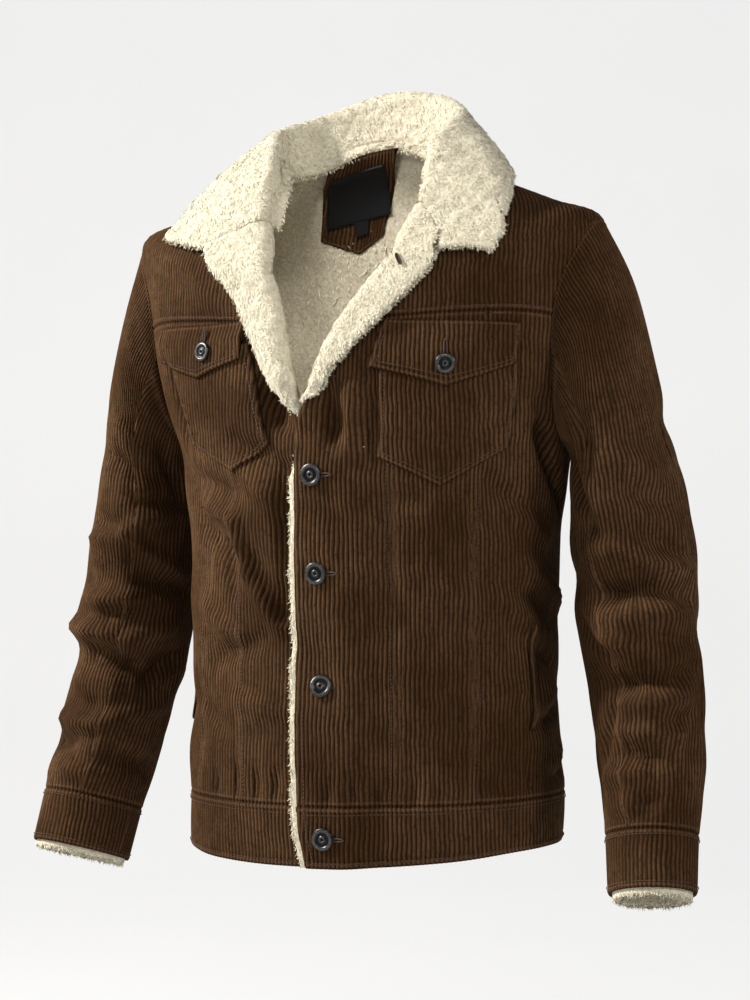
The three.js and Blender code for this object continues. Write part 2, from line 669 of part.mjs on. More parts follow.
// Lapels: ring of the shell's edge, and where the lapel's outer edge lands
const LAPELS = {
  left: {
    columns: ['ring', 'landAround', 'landRing'],
    rows: [
      [4.72, -88.6, 4.8],
      [5.1, -84.5, 5.1],
      [5.7, -78.5, 5.55],
      [6.4, -72, 6.0],
      [7.2, -66.5, 6.42],
      [8.1, -62, 6.8],
      [8.8, -59.5, 7.15],
      [9.25, -57.6, 7.48],
    ],
  },
  right: {
    columns: ['ring', 'landAround', 'landRing'],
    rows: [
      [4.8, -82.2, 4.84],
      [5.15, -80, 5.15],
      [5.8, -75.5, 5.65],
      [6.5, -72, 6.15],
      [7.3, -67.5, 6.7],
      [8.2, -62.5, 7.15],
      [9, -57, 7.5],
      [9.47, -51.5, 7.88],
    ],
  },
};
const LAPEL_STATIONS = 10;

// Collar from the left gorge round the back to the right one. around goes on past 180.
// rise is the height of the stand and lean its slope outwards in degrees.
const COLLAR = {
  columns: ['around', 'ring', 'rise', 'lean', 'landAround', 'landRing'],
  rows: [
    [-42, 9.3, 1.5, 0, -57, 7.52],
    [-30, 9.65, 5, 0, -50.5, 7.16],
    [-16, 10, 14, 4, -43.5, 6.86],
    [-2, 10, 27, 8, -39.5, 7.35],
    [14, 10, 38, 12, -25, 8.15],
    [32, 10, 46, 14, 0, 8.8],
    [52, 10, 51, 14, 32, 8.9],
    [71, 10, 53, 14, 62, 8.8],
    [90, 10, 54, 14, 90, 8.75],
    [109, 10, 50, 14, 118, 8.8],
    [128, 10, 45, 14, 148, 8.85],
    [148, 10, 41, 14, 180, 8.7],
    [168, 10, 36, 12, 200, 8.3],
    [186, 10, 29, 8, 210, 7.9],
    [203, 10, 18, 4, 214, 7.5],
    [217, 9.85, 9, 0, 222, 7.65],
    [231, 9.52, 3, 0, 230, 7.9],
  ],
};
const COLLAR_STATIONS = 36;
const STAND_DEPTH = 6;
const STAND_UPRIGHT = { from: 4, full: 24 };
const STAND_MIDDLE = { share: 0.45, add: 0.5 };

// The normal that points away from the middle of the body, which a mirrored surface may turn round
const BODY_MIDDLE = { y: 20, chestHeight: -220 };
function outwardNormal(pointAt, around, ring) {
  const normal = normalOf(pointAt, around, ring);
  const p = pointAt(around, ring);
  const away = new THREE.Vector3(p.x, p.y - BODY_MIDDLE.y, Math.max(0, p.z - BODY_MIDDLE.chestHeight));
  return normal.dot(away) < 0 ? normal.negate() : normal;
}

function rollFrame(pointAt, at, land, ahead, behind) {
  const point = pointAt(at.around, at.ring);
  const along = pointAt(ahead.around, ahead.ring).sub(pointAt(behind.around, behind.ring)).normalize();
  const normal = outwardNormal(pointAt, at.around, at.ring);
  const out = along.clone().cross(normal).normalize();
  if (out.dot(pointAt(land.around, land.ring).sub(point)) < 0) out.negate();
  return { point, normal, out };
}

function fallPoint(pointAt, at, land, share) {
  const around = mix(at.around, land.around, share);
  const ring = mix(at.ring, land.ring, share);
  const point = pointAt(around, ring);
  return { point, normal: outwardNormal(pointAt, around, ring) };
}

function rollArc(frame, lift, start, steps) {
  const centre = frame.point.clone()
    .addScaledVector(frame.up, lift - ROLL.below)
    .addScaledVector(frame.back, ROLL.setBack);
  const arc = [];
  for (let k = 0; k <= steps; k += 1) {
    const angle = mix(start, 90, k / steps) * DEG;
    arc.push(centre.clone()
      .addScaledVector(frame.back, -ROLL.radius * Math.cos(angle))
      .addScaledVector(frame.up, ROLL.radius * Math.sin(angle)));
  }
  return arc;
}

function thicken(name, core, thickness, material, outward) {
  const store = new Map();
  addNormals(store, core, false);
  const normals = gridNormals(store, core);
  const middle = Math.floor(core.length / 2);
  const last = core[0].length - 2;
  if (normals[middle][last].dot(outward) < 0) {
    for (const n of normals.flat()) {
      n.negate();
    }
  }
  addPiece(name, wallGeometry(core, offsetGrid(core, normals, thickness)), material);
}

function lapelCore(which) {
  const pointAt = (around, ring) => frontPoint(which, around, ring);
  const edge = (ring) => ({ around: curveAt(FRONT[which].edge, ring), ring });
  const grid = [];
  for (let i = 0; i <= LAPEL_STATIONS; i += 1) {
    const row = ringAt(LAPELS[which], (LAPELS[which].rows.length - 1) * i / LAPEL_STATIONS);
    const at = edge(row.ring);
    const land = { around: row.landAround, ring: row.landRing };
    const ahead = edge(row.ring + SLOPE_STEP.edge);
    const behind = edge(row.ring - SLOPE_STEP.edge);
    const frame = rollFrame(pointAt, at, land, ahead, behind);
    frame.up = frame.normal;
    frame.back = frame.out;
    const arc = rollArc(frame, 0, -90, ROLL_STEPS.lapel);
    const reach = mix(INSIDE_REACH.atTip, INSIDE_REACH.full, smooth(0, INSIDE_REACH.stations, i));
    const inside = arc[0].clone().addScaledVector(frame.out, reach);
    const fall = FALL_STEPS.map((share) => {
      const f = fallPoint(pointAt, at, land, share);
      return f.point.addScaledVector(f.normal, mix(FALL_CLEAR.roll, FALL_CLEAR.edge, share));
    });
    grid.push([inside, ...arc, ...fall]);
  }
  return grid;
}

// In front of the neck seam the collar follows the edge of the front
function neckAround(around, ring) {
  if (ring >= NECK) return around;
  return around < 90 ? curveAt(FRONT.left.edge, ring) : 180 - curveAt(FRONT.right.edge, ring);
}

function collarCore() {
  const last = COLLAR.rows.length - 1;
  const pointAt = (around, ring) => bodyPoint(around, ring);
  const grid = [];
  for (let i = 0; i <= COLLAR_STATIONS; i += 1) {
    const place = last * i / COLLAR_STATIONS;
    const row = ringAt(COLLAR, place);
    const at = { around: neckAround(row.around, row.ring), ring: Math.min(row.ring, NECK) };
    const land = { around: row.landAround, ring: row.landRing };
    const ahead = ringAt(COLLAR, Math.min(place + SLOPE_STEP.collar, last));
    const behind = ringAt(COLLAR, Math.max(place - SLOPE_STEP.collar, 0));
    for (const near of [ahead, behind]) {
      near.ring = Math.min(near.ring, NECK);
      near.around = neckAround(near.around, near.ring);
    }
    const frame = rollFrame(pointAt, at, land, ahead, behind);
    const level = frame.out.clone().setZ(0).normalize();
    const stand = new THREE.Vector3(0, 0, 1).multiplyScalar(Math.cos(row.lean * DEG))
      .addScaledVector(level, Math.sin(row.lean * DEG));
    const upright = smooth(STAND_UPRIGHT.from, STAND_UPRIGHT.full, row.rise);
    frame.up = frame.normal.clone().lerp(stand, upright).normalize();
    frame.back = frame.out.clone().lerp(level, upright).normalize();
    const arc = rollArc(frame, row.rise, 0, ROLL_STEPS.collar);
    const inset = ROLL.setBack - ROLL.radius;
    const foot = frame.point.clone().addScaledVector(frame.out, inset)
      .addScaledVector(frame.normal, -STAND_DEPTH);
    const seam = frame.point.clone().addScaledVector(frame.out, inset);
    const mid = frame.point.clone().addScaledVector(frame.back, inset)
      .addScaledVector(frame.up, row.rise * STAND_MIDDLE.share + STAND_MIDDLE.add);
    const fall = FALL_STEPS.map((share) => {
      const f = fallPoint(pointAt, at, land, share);
      return f.point.addScaledVector(f.normal, mix(FALL_CLEAR.roll, FALL_CLEAR.edge, share))
        .addScaledVector(frame.up, row.rise * (1 - share));
    });
    grid.push([foot, seam, mid, ...arc, ...fall]);
  }
  return grid;
}

const LAPEL_TIP = { share: 0.45, stations: 2 };
const lapelPile = (i) => COLLAR_PILE * mix(LAPEL_TIP.share, 1, smooth(0, LAPEL_TIP.stations, i));
thicken('lapel_left', lapelCore('left'), lapelPile, pile(), new THREE.Vector3(0, -1, 0));
thicken('lapel_right', lapelCore('right'), lapelPile, pile(), new THREE.Vector3(0, -1, 0));
thicken('collar', collarCore(), COLLAR_PILE, pile(), new THREE.Vector3(0, 0.5, 1));

// What lies on a panel is a patch of the panel's own surface moved out. across runs 0 to 1 from
// the front edge of the patch, down runs 0 to 1 from its top, and the foot is a shallow point.
function layPatch(name, pointAt, patch, cells, clearance, thickness, material) {
  const { rows, columns } = cells;
  const place = (i, j) => {
    const across = j / columns;
    const down = i / rows;
    const half = across < patch.tipAt ? patch.tipAt : 1 - patch.tipAt;
    const point = 1 - Math.abs(across - patch.tipAt) / half;
    const top = mix(patch.topRing[0], patch.topRing[1], across);
    const foot = mix(patch.footRing[0], patch.footRing[1], across) + patch.tipDrop * point;
    return {
      around: mix(mix(patch.topAround[0], patch.topAround[1], across),
        mix(patch.footAround[0], patch.footAround[1], across), down),
      ring: mix(top, foot, down),
      down,
    };
  };
  const layer = (lift) => makeGrid(rows, columns, (i, j) => {
    const spot = place(i, j);
    return pointAt(spot.around, spot.ring, lift(spot.down));
  });
  const under = layer(clearance);
  const over = layer((down) => clearance(down) + thickness);
  addPiece(name, wallGeometry(over, under), material);
}

const ON_PANEL = 1.3;
const POCKET_WALL = 2;
const FLAP = { wall: 2.2, clearOfPocket: 4.3, opensAt: 0.4 };
const CELLS = {
  pocket: { rows: 5, columns: 6 },
  flap: { rows: 4, columns: 6 },
  welt: { rows: 5, columns: 1 },
  neckPatch: { rows: 5, columns: 4 },
  neckLabel: { rows: 3, columns: 4 },
  sizeTab: { rows: 1, columns: 1 },
};
const CHEST = {
  left: {
    pocket: { topAround: [-74, -36.5], topRing: [5.6, 5.35], footAround: [-72.5, -31], footRing: [4.1, 4.1],
      tipAt: 0.46, tipDrop: -0.33 },
    flap: { topAround: [-72, -35.5], topRing: [5.95, 5.5], footAround: [-75.5, -36], footRing: [5.14, 4.98],
      tipAt: 0.5, tipDrop: -0.26 },
    button: [-56.2, 5.13],
    welt: { topAround: [-15.6, -12.6], topRing: [2.6, 2.6], footAround: [-15.6, -12.6], footRing: [1.7, 1.7],
      tipAt: 0.5, tipDrop: 0 },
  },
  right: {
    pocket: { topAround: [-73, -40], topRing: [5.6, 5.4], footAround: [-73, -40], footRing: [4.25, 4.2],
      tipAt: 0.42, tipDrop: -0.28 },
    flap: { topAround: [-72.5, -38], topRing: [6.02, 5.6], footAround: [-71.5, -38.5], footRing: [5.3, 5.1],
      tipAt: 0.42, tipDrop: -0.24 },
    button: [-57.5, 5.3],
    welt: { topAround: [-15.6, -12.6], topRing: [2.6, 2.6], footAround: [-15.6, -12.6], footRing: [1.7, 1.7],
      tipAt: 0.5, tipDrop: 0 },
  },
};
for (const which of ['left', 'right']) {
  const pointAt = (around, ring, extra) => frontPoint(which, around, ring, extra);
  const chest = CHEST[which];
  const onPanel = () => ON_PANEL;
  layPatch(`chest_pocket_${which}`, pointAt, chest.pocket, CELLS.pocket, onPanel, POCKET_WALL, corduroy());
  const flapLift = (down) => mix(ON_PANEL, FLAP.clearOfPocket, smooth(0, FLAP.opensAt, down));
  layPatch(`pocket_flap_${which}`, pointAt, chest.flap, CELLS.flap, flapLift, FLAP.wall, corduroy());
  layPatch(`hand_pocket_welt_${which}`, pointAt, chest.welt, CELLS.welt, onPanel, POCKET_WALL, corduroy());
}

// Shank buttons: a dished disc with a raised rim and a small eye, on a short neck
const BUTTON = { frontRadius: 10.5, flapRadius: 8.8, seat: 0.45, sides: 12 };
const BUTTON_PROFILE = {
  columns: ['shareOfRadius', 'height'],
  rows: [[0, 0], [0.62, 0], [1, 1.1], [1, 2.1], [0.84, 3], [0.62, 2.2], [0.25, 2.2], [0, 3]],
};
function addButton(name, which, around, ring, radius, height) {
  const profile = BUTTON_PROFILE.rows.map(([share, z]) => new THREE.Vector2(share * radius, z));
  const geometry = new THREE.LatheGeometry(profile, BUTTON.sides);
  geometry.rotateX(90 * DEG);
  const mesh = addPiece(name, geometry, darkMetal());
  const pointAt = (a, r) => frontPoint(which, a, r);
  const normal = normalOf(pointAt, around, ring);
  if (normal.y > 0) normal.negate();
  mesh.quaternion.setFromUnitVectors(new THREE.Vector3(0, 0, 1), normal);
  mesh.position.copy(pointAt(around, ring)).addScaledVector(normal, height);
}
const FRONT_BUTTONS = {
  columns: ['around', 'ring'],
  rows: [[-88.6, 3.94], [-87.6, 3.0], [-87, 2.1], [-86.2, 0.54]],
};
FRONT_BUTTONS.rows.forEach(([around, ring], i) => {
  addButton(`front_button_${i + 1}`, 'left', around, ring, BUTTON.frontRadius, BUTTON.seat);
});
for (const which of ['left', 'right']) {
  const [around, ring] = CHEST[which].button;
  const height = FLAP.clearOfPocket + FLAP.wall + BUTTON.seat;
  addButton(`flap_button_${which}`, which, around, ring, BUTTON.flapRadius, height);
}

// Inside the neck: the corduroy hanger patch, its plain label and a small plain tab
const INSIDE = -LINING_DEPTH - LINING_PILE;
const backInside = (around, ring, lift) => {
  const point = bodyPoint(around, ring, false, INSIDE - lift);
  point.y -= liningHang(around, ring);
  return point;
};
const NECK_PATCH = { topAround: [134, 82], topRing: [9.9, 9.9], footAround: [109, 90], footRing: [7.25, 7.25],
  tipAt: 0.5, tipDrop: -0.4 };
const NECK_LABEL = { topAround: [130, 88], topRing: [9.5, 9.5], footAround: [111, 92], footRing: [7.95, 7.95],
  tipAt: 0.5, tipDrop: 0 };
const SIZE_TAB = { topAround: [103.5, 100], topRing: [7.85, 7.85], footAround: [102.5, 99.3],
  footRing: [7.45, 7.45], tipAt: 0.5, tipDrop: 0 };
const LABEL_WALL = 1;
const TAB_SINK = 0.5;
layPatch('neck_patch', backInside, NECK_PATCH, CELLS.neckPatch, () => ON_PANEL, POCKET_WALL, corduroy());
const onPatch = () => ON_PANEL + POCKET_WALL + ON_PANEL;
layPatch('neck_label', backInside, NECK_LABEL, CELLS.neckLabel, onPatch, LABEL_WALL, satin());
const tabOnPatch = () => onPatch() - TAB_SINK;
layPatch('size_tab', backInside, SIZE_TAB, CELLS.sizeTab, tabOnPatch, LABEL_WALL, satin());

export default jacket;
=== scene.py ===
import math

import bmesh
import bpy
import numpy as np
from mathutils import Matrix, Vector


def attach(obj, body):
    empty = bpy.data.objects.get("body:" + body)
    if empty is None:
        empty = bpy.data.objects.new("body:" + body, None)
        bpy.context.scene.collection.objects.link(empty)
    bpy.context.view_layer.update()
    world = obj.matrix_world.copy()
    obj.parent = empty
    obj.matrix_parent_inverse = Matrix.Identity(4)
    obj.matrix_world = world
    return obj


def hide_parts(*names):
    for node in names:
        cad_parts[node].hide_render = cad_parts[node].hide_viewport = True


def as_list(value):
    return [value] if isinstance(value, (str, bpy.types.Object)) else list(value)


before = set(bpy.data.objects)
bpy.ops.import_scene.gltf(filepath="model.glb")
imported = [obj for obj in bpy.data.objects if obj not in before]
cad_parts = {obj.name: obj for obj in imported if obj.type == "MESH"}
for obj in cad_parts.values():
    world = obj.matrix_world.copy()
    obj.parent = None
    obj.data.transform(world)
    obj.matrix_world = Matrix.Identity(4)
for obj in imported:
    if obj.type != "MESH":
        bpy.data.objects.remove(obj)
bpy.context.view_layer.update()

MM = 0.001
DEG = math.pi / 180
RNG = np.random.default_rng(11)

# Cloth and seams, in millimetres
CORDUROY = 2.0
LINING_PILE = 5.0
COLLAR_PILE = 7.0
COLLAR_THINNER = 1.5
CUFF_PILE = 4.5
LINING_DEPTH = 2.3
WALE = {"pitch": 4.5, "depth": 1.2, "columns": 4, "sharpness": 1.9}

# Landmarks up the body, in ring numbers of BODY
ARMPIT = 4.15
ARM_MIDDLE = 5.55
SHOULDER = 7.0
NECK = 10.0
ARMHOLE_HALF_ANGLE = 25.0

# Rings of the body from hem to neck:
# zFront, zSide, zBack, xMid, halfWidth, yFront, ySide, yBack, roundness
BODY = np.array([
    [-684, -673, -656, 0, 197, -100, 26, 152, 2.15],
    [-624, -621, -614, 0, 199, -102, 26, 152, 2.15],
    [-520, -520, -518, 0, 194, -103, 28, 152, 2.15],
    [-400, -400, -396, 0, 193, -104, 28, 152, 2.15],
    [-300, -285, -280, 0, 208, -107, 23, 152, 2.15],
    [-215, -190, -190, 0, 236, -108, 20, 152, 2.1],
    [-160, -118, -112, 0, 248, -106, 14, 138, 2.0],
    [-125, -60, -62, 0, 253, -102, 9, 114, 1.95],
    [-110, -40, -26, 1, 205, -99, 4, 91, 2.0],
    [-98, -17, 4, 3, 146, -96, -2, 71, 2.0],
    [-88, 6, 28, 8, 90, -92, -8, 52, 2.0],
])
HEM_TILT = {"drop": 8, "fadesAt": 2.5, "per": 200}

# Rings of the left sleeve after the armhole:
# x, y, z, pitch, turn, then radii out, in, front and back of the centre, and skew
SLEEVE = np.array([
    [245, 22, -191, 20, 2, 84, 91, 62, 64, 0],
    [255, 28, -231, 35, 0, 63, 66, 68, 70, 0],
    [260, 34, -273, 61, -3, 52, 48, 71, 71, 1],
    [265, 37, -335, 86, -3, 60, 51, 68, 70, -1],
    [280, 33, -430, 87, 4, 61, 59, 60, 61, 1],
    [295, 25, -520, 84, 12, 55, 55, 54, 55, 2],
    [306, 6, -600, 84, 15, 50, 50, 50, 51, 4],
    [311, -7, -645, 84, 16, 46, 46, 47, 47, 7],
    [317, -22, -698, 84, 17, 44, 44, 45, 45, 9],
], float)
RIGHT_FOREARM = {"swell": 8, "from": 400, "to": 620}
CUFF_SEAM = 8.0
CUFF_END = 9.0
SLEEVE_FRONT_SEAM = 108.0
SLEEVE_BACK_SEAM = 252.0

# Folds: around and height at the start, around and height at the end, width, depth
BODY_FOLDS = [
    [-40, -312, -26, -350, 18, -5],
    [-24, -395, -4, -445, 20, 5],
    [-14, -545, 4, -505, 18, 5],
    [-2, -600, 8, -575, 14, 4],
    [-86, -222, -81, -268, 16, -4],
    [-104, -195, -97, -250, 18, -2.5],
    [-126, -300, -116, -330, 18, -4],
    [-150, -290, -128, -360, 22, -6],
    [-160, -420, -136, -455, 22, 5],
    [-168, -520, -140, -560, 20, -5],
    [30, -330, 62, -360, 26, -6],
    [24, -420, 70, -405, 26, 5],
    [40, -505, 86, -530, 26, -5],
    [148, -335, 112, -372, 26, -6],
    [158, -430, 118, -415, 26, 5],
    [142, -520, 98, -545, 26, -5],
    [46, -150, 74, -215, 26, -4],
    [136, -150, 108, -215, 26, -4],
]
MM_PER_BODY_DEGREE = 3.0
BODY_FOLD_FADE = 0.6
FOLD_SHARE_AT_ENDS = 0.55
SLEEVE_FOLDS = {
    "left": [
        [60, -425, 150, -408, 20, -8],
        [20, -450, 120, -462, 22, 6],
        [70, -505, 140, -500, 20, -7],
        [30, -490, 75, -525, 20, 5],
        [55, -580, 110, -572, 20, -5],
        [80, -610, 130, -625, 18, 4],
        [150, -330, 100, -380, 20, -6],
        [200, -430, 290, -415, 18, -6],
        [210, -500, 300, -520, 18, 5],
        [310, -470, 380, -440, 18, -5],
    ],
    "right": [
        [40, -415, 130, -400, 20, -7],
        [10, -455, 130, -440, 22, 7],
        [30, -495, 120, -500, 20, -7],
        [20, -590, 60, -560, 18, -5],
        [150, -350, 80, -330, 20, 5],
        [160, -330, 110, -390, 18, -6],
        [200, -440, 290, -425, 18, -6],
        [210, -510, 300, -530, 18, 5],
        [310, -470, 380, -445, 18, -5],
    ],
}
MM_PER_SLEEVE_DEGREE = 1.0


def mix(a, b, t):
    return a + (b - a) * t


def smooth(low, high, x):
    t = np.clip((np.asarray(x, float) - low) / (high - low), 0, 1)
    return t * t * (3 - 2 * t)


def catmull_rom(a, b, c, d, t):
    return 0.5 * (2 * b + (c - a) * t + (2 * a - 5 * b + 4 * c - d) * t * t
                  + (3 * b - a - 3 * c + d) * t ** 3)


def ring_at(rows, ring):
    """A smooth row of a table at ring numbers that need not be whole."""
    last = len(rows) - 1
    place = np.clip(np.asarray(ring, float), 0, last - 1e-9)
    i = np.floor(place).astype(int)
    ext = np.concatenate([[2 * rows[0] - rows[1]], rows, [2 * rows[-1] - rows[-2]]])
    return catmull_rom(ext[i], ext[i + 1], ext[i + 2], ext[i + 3], (place - i)[..., None])


def curve_at(pairs, place):
    """A smooth value through pairs of place and value."""
    p = np.asarray(pairs, float)
    at, value = p[:, 0], p[:, 1]
    slope = np.empty(len(p))
    slope[1:-1] = (value[2:] - value[:-2]) / (at[2:] - at[:-2])
    slope[0] = (value[1] - value[0]) / (at[1] - at[0])
    slope[-1] = (value[-1] - value[-2]) / (at[-1] - at[-2])
    x = np.clip(np.asarray(place, float), at[0], at[-1])
    i = np.clip(np.searchsorted(at, x, side="left") - 1, 0, len(p) - 2)
    span = at[i + 1] - at[i]
    t = (x - at[i]) / span
    start = value[i] * (2 * t ** 3 - 3 * t ** 2 + 1) + slope[i] * span * (t ** 3 - 2 * t ** 2 + t)
    end = value[i + 1] * (3 * t ** 2 - 2 * t ** 3) + slope[i + 1] * span * (t ** 3 - t ** 2)
    return start + end


def fold_height(folds, around, height, mm_per_degree):
    total = np.zeros(np.broadcast(around, height).shape)
    for around0, height0, around1, height1, width, depth in folds:
        dx = (around1 - around0) * mm_per_degree
        dz = height1 - height0
        px = (around - around0) * mm_per_degree
        pz = height - height0
        held = np.clip((px * dx + pz * dz) / (dx * dx + dz * dz), 0, 1)
        off = np.hypot(px - held * dx, pz - held * dz) / width
        swell = mix(FOLD_SHARE_AT_ENDS, 1, np.sin(np.pi * held))
        total = total + depth * swell * np.exp(-off * off)
    return total


def unit(v):
    return v / np.maximum(np.linalg.norm(v, axis=-1, keepdims=True), 1e-12)


def body_form(around, ring):
    """The plain body surface: around in degrees, 0 at the wearer's left side, -90 in front."""
    row = ring_at(BODY, ring)
    c, s = np.cos(around * DEG), np.sin(around * DEG)
    power = 2 / row[..., 8]
    x = row[..., 3] + row[..., 4] * np.sign(c) * np.abs(c) ** power
    front = s < 0
    reach = np.where(front, row[..., 5], row[..., 7]) - row[..., 6]
    rise = np.where(front, row[..., 0], row[..., 2]) - row[..., 1]
    tilt = HEM_TILT["drop"] * (1 - np.minimum(ring / HEM_TILT["fadesAt"], 1)) / HEM_TILT["per"]
    y = row[..., 6] + reach * np.abs(s) ** power
    return np.stack([x, y, row[..., 1] + rise * s * s + tilt * x], -1)


# The camera, which also places the creases that are read off the photograph
CAMERA = {"turn": 27.0, "away": 2400.0, "aside": 14.0, "height": -330.0, "lens": 86.4}
FRAME_MIDDLE = [375.0, 500.0]


def in_photo(point):
    """Where points in millimetres fall in the photograph."""
    c, s = math.cos(CAMERA["turn"] * DEG), math.sin(CAMERA["turn"] * DEG)
    across = point[..., 0] * c + point[..., 1] * s
    scale = CAMERA["away"] / (CAMERA["away"] - point[..., 0] * s + point[..., 1] * c)
    return (FRAME_MIDDLE[0] + scale * (across - CAMERA["aside"]),
            FRAME_MIDDLE[1] - scale * (point[..., 2] - CAMERA["height"]))


def placed_folds(rows, around, points, outward, gain):
    """Folds given by two places in the photograph, as around and height on the side that it shows."""
    px, py = in_photo(points)
    toward = np.array([math.sin(CAMERA["turn"] * DEG), -math.cos(CAMERA["turn"] * DEG), 0])
    hidden = np.where(np.sum(outward * toward, -1) < 0.05, 1e6, 0.0)
    placed = []
    for x0, y0, x1, y1, width, depth in rows:
        ends = []
        for x, y in ((x0, y0), (x1, y1)):
            best = np.argmin((px - x) ** 2 + (py - y) ** 2 + hidden)
            ends += [float(around.flat[best]), float(points[..., 2].flat[best])]
        placed.append([*ends, width, depth * gain])
    return placed


def waver(around, height, seed):
    """Slow unevenness of worn cloth."""
    total = 0.0
    for k, (per_turn, per_mm, turn) in enumerate(((3.1, 0.021, 0.4), (5.3, -0.034, 1.9), (8.7, 0.052, 3.3),
                                                  (12.9, -0.071, 5.1), (4.4, 0.093, 2.2))):
        angle = around * DEG * per_turn + height * per_mm + turn + seed * (k + 1)
        total = total + np.sin(angle) / (1 + 0.5 * k)
    return total


WAVER = {"body": 1.0, "sleeve": 1.1}


def body_normal(around, ring):
    du, dv = 0.6, 0.02
    a = body_form(around + du, ring) - body_form(around - du, ring)
    b = body_form(around, ring + dv) - body_form(around, np.maximum(ring - dv, 0))
    return unit(np.cross(a, b))


ARMHOLE_CALM = {"degrees": 9.0, "rings": 0.35}


def off_armhole(around, ring):
    """0 on the armhole seams and 1 well away from them, so that body and sleeve meet."""
    reach = np.where(ring > ARM_MIDDLE, SHOULDER - ARM_MIDDLE, ARM_MIDDLE - ARMPIT)
    beyond = np.maximum(np.abs(ring - ARM_MIDDLE) - reach, 0) / ARMHOLE_CALM["rings"]
    half = ARMHOLE_HALF_ANGLE * np.sqrt(np.clip(1 - ((ring - ARM_MIDDLE) / reach) ** 2, 0, 1))
    left = np.abs((around + 180) % 360 - 180)
    nearest = np.minimum(left, 180 - left)
    return smooth(0, 1, np.hypot(np.maximum(nearest - half, 0) / ARMHOLE_CALM["degrees"], beyond))


OVERLAP = {"lift": 9, "from": 72, "full": 30, "fadeRing": 4.6, "goneRing": 5.4}


def body_point(around, ring, lapped=False, extra=0.0):
    """The outer face of the body. lapped is true on the wearer's left front."""
    around, ring = np.broadcast_arrays(np.asarray(around, float), np.asarray(ring, float))
    point = body_form(around, ring)
    normal = body_normal(around, ring)
    fade = 1 - smooth(SHOULDER - BODY_FOLD_FADE, SHOULDER + BODY_FOLD_FADE, ring)
    fade = fade * off_armhole(around, ring)
    turned = np.where(around < -180, around + 360, np.where(around > 180, around - 360, around))
    out = fade * (fold_height(BODY_FOLDS, turned, point[..., 2], MM_PER_BODY_DEGREE)
                  + WAVER["body"] * waver(turned, point[..., 2], 0.7))
    if lapped:
        across = 1 - smooth(OVERLAP["full"], OVERLAP["from"], point[..., 0])
        out = out + OVERLAP["lift"] * across * (
            1 - smooth(OVERLAP["fadeRing"], OVERLAP["goneRing"], ring))
    return point + normal * (out + extra)[..., None]


def armhole(turn):
    c = np.cos(turn * DEG)
    reach = np.where(c > 0, SHOULDER - ARM_MIDDLE, ARM_MIDDLE - ARMPIT)
    return -ARMHOLE_HALF_ANGLE * np.sin(turn * DEG), ARM_MIDDLE + reach * c


def sleeve_ring_point(row, turn):
    x, y, z, pitch, swing, outer, inner, front_r, back_r, skew = row
    pitch, swing = pitch * DEG, swing * DEG
    up = np.array([math.sin(pitch), 0, math.cos(pitch)])
    front = np.array([-math.sin(swing) * math.cos(pitch), -math.cos(swing),
                      math.sin(swing) * math.sin(pitch)])
    c, s = np.cos(turn * DEG), np.sin(turn * DEG)
    a = np.where(c > 0, outer, inner) * c + skew * s
    b = np.where(s > 0, front_r, back_r) * s
    return np.array([x, y, z]) + up * a[..., None] + front * b[..., None]


def sleeve_form(turn, station):
    """Sleeve surface. station 0 is the armhole, 1 the first row of SLEEVE and so on."""
    turn, station = np.broadcast_arrays(np.asarray(turn, float), np.asarray(station, float))
    rings = [body_form(*armhole(turn))] + [sleeve_ring_point(row, turn) for row in SLEEVE]
    ext = np.stack([2 * rings[0] - rings[1], *rings, 2 * rings[-1] - rings[-2]])
    place = np.clip(station, 0, len(SLEEVE) - 1e-9)
    i = np.floor(place).astype(int)
    where = np.indices(turn.shape)
    pick = lambda k: ext[(i + k, *where)]
    return catmull_rom(pick(0), pick(1), pick(2), pick(3), (place - i)[..., None])


SLEEVE_FOLD_FADE = {"from": 1, "full": 3, "aboveCuff": 0.5}


def sleeve_point(turn, station, side, extra=0.0):
    point = sleeve_form(turn, station)
    across = sleeve_form(turn + 1, station) - sleeve_form(turn - 1, station)
    down = (sleeve_form(turn, np.minimum(station + 0.04, len(SLEEVE)))
            - sleeve_form(turn, np.maximum(station - 0.04, 0)))
    normal = unit(np.cross(across, down))
    inward = np.sum(normal * (point - sleeve_form(turn + 180, station)), -1) < 0
    normal = np.where(inward[..., None], -normal, normal)
    fade = smooth(SLEEVE_FOLD_FADE["from"], SLEEVE_FOLD_FADE["full"], station) * (
        1 - smooth(CUFF_SEAM - SLEEVE_FOLD_FADE["aboveCuff"], CUFF_SEAM, station))
    folds = SLEEVE_FOLDS["left" if side > 0 else "right"]
    turned = np.mod(turn, 360)
    other = np.where(turned < 180, turned + 360, turned - 360)
    both = (fold_height(folds, turned, point[..., 2], MM_PER_SLEEVE_DEGREE)
            + fold_height(folds, other, point[..., 2], MM_PER_SLEEVE_DEGREE))
    height = point[..., 2].copy()
    both = both + WAVER["sleeve"] * waver(turned, height, 2.0 + side)
    point = point + normal * (fade * both + extra)[..., None]
    if side < 0:
        outer = np.maximum(0, np.cos(turn * DEG))
        swell = RIGHT_FOREARM["swell"] * smooth(RIGHT_FOREARM["from"], RIGHT_FOREARM["to"], -height)
        point[..., 0] += swell * outer
    point[..., 0] *= side
    return point


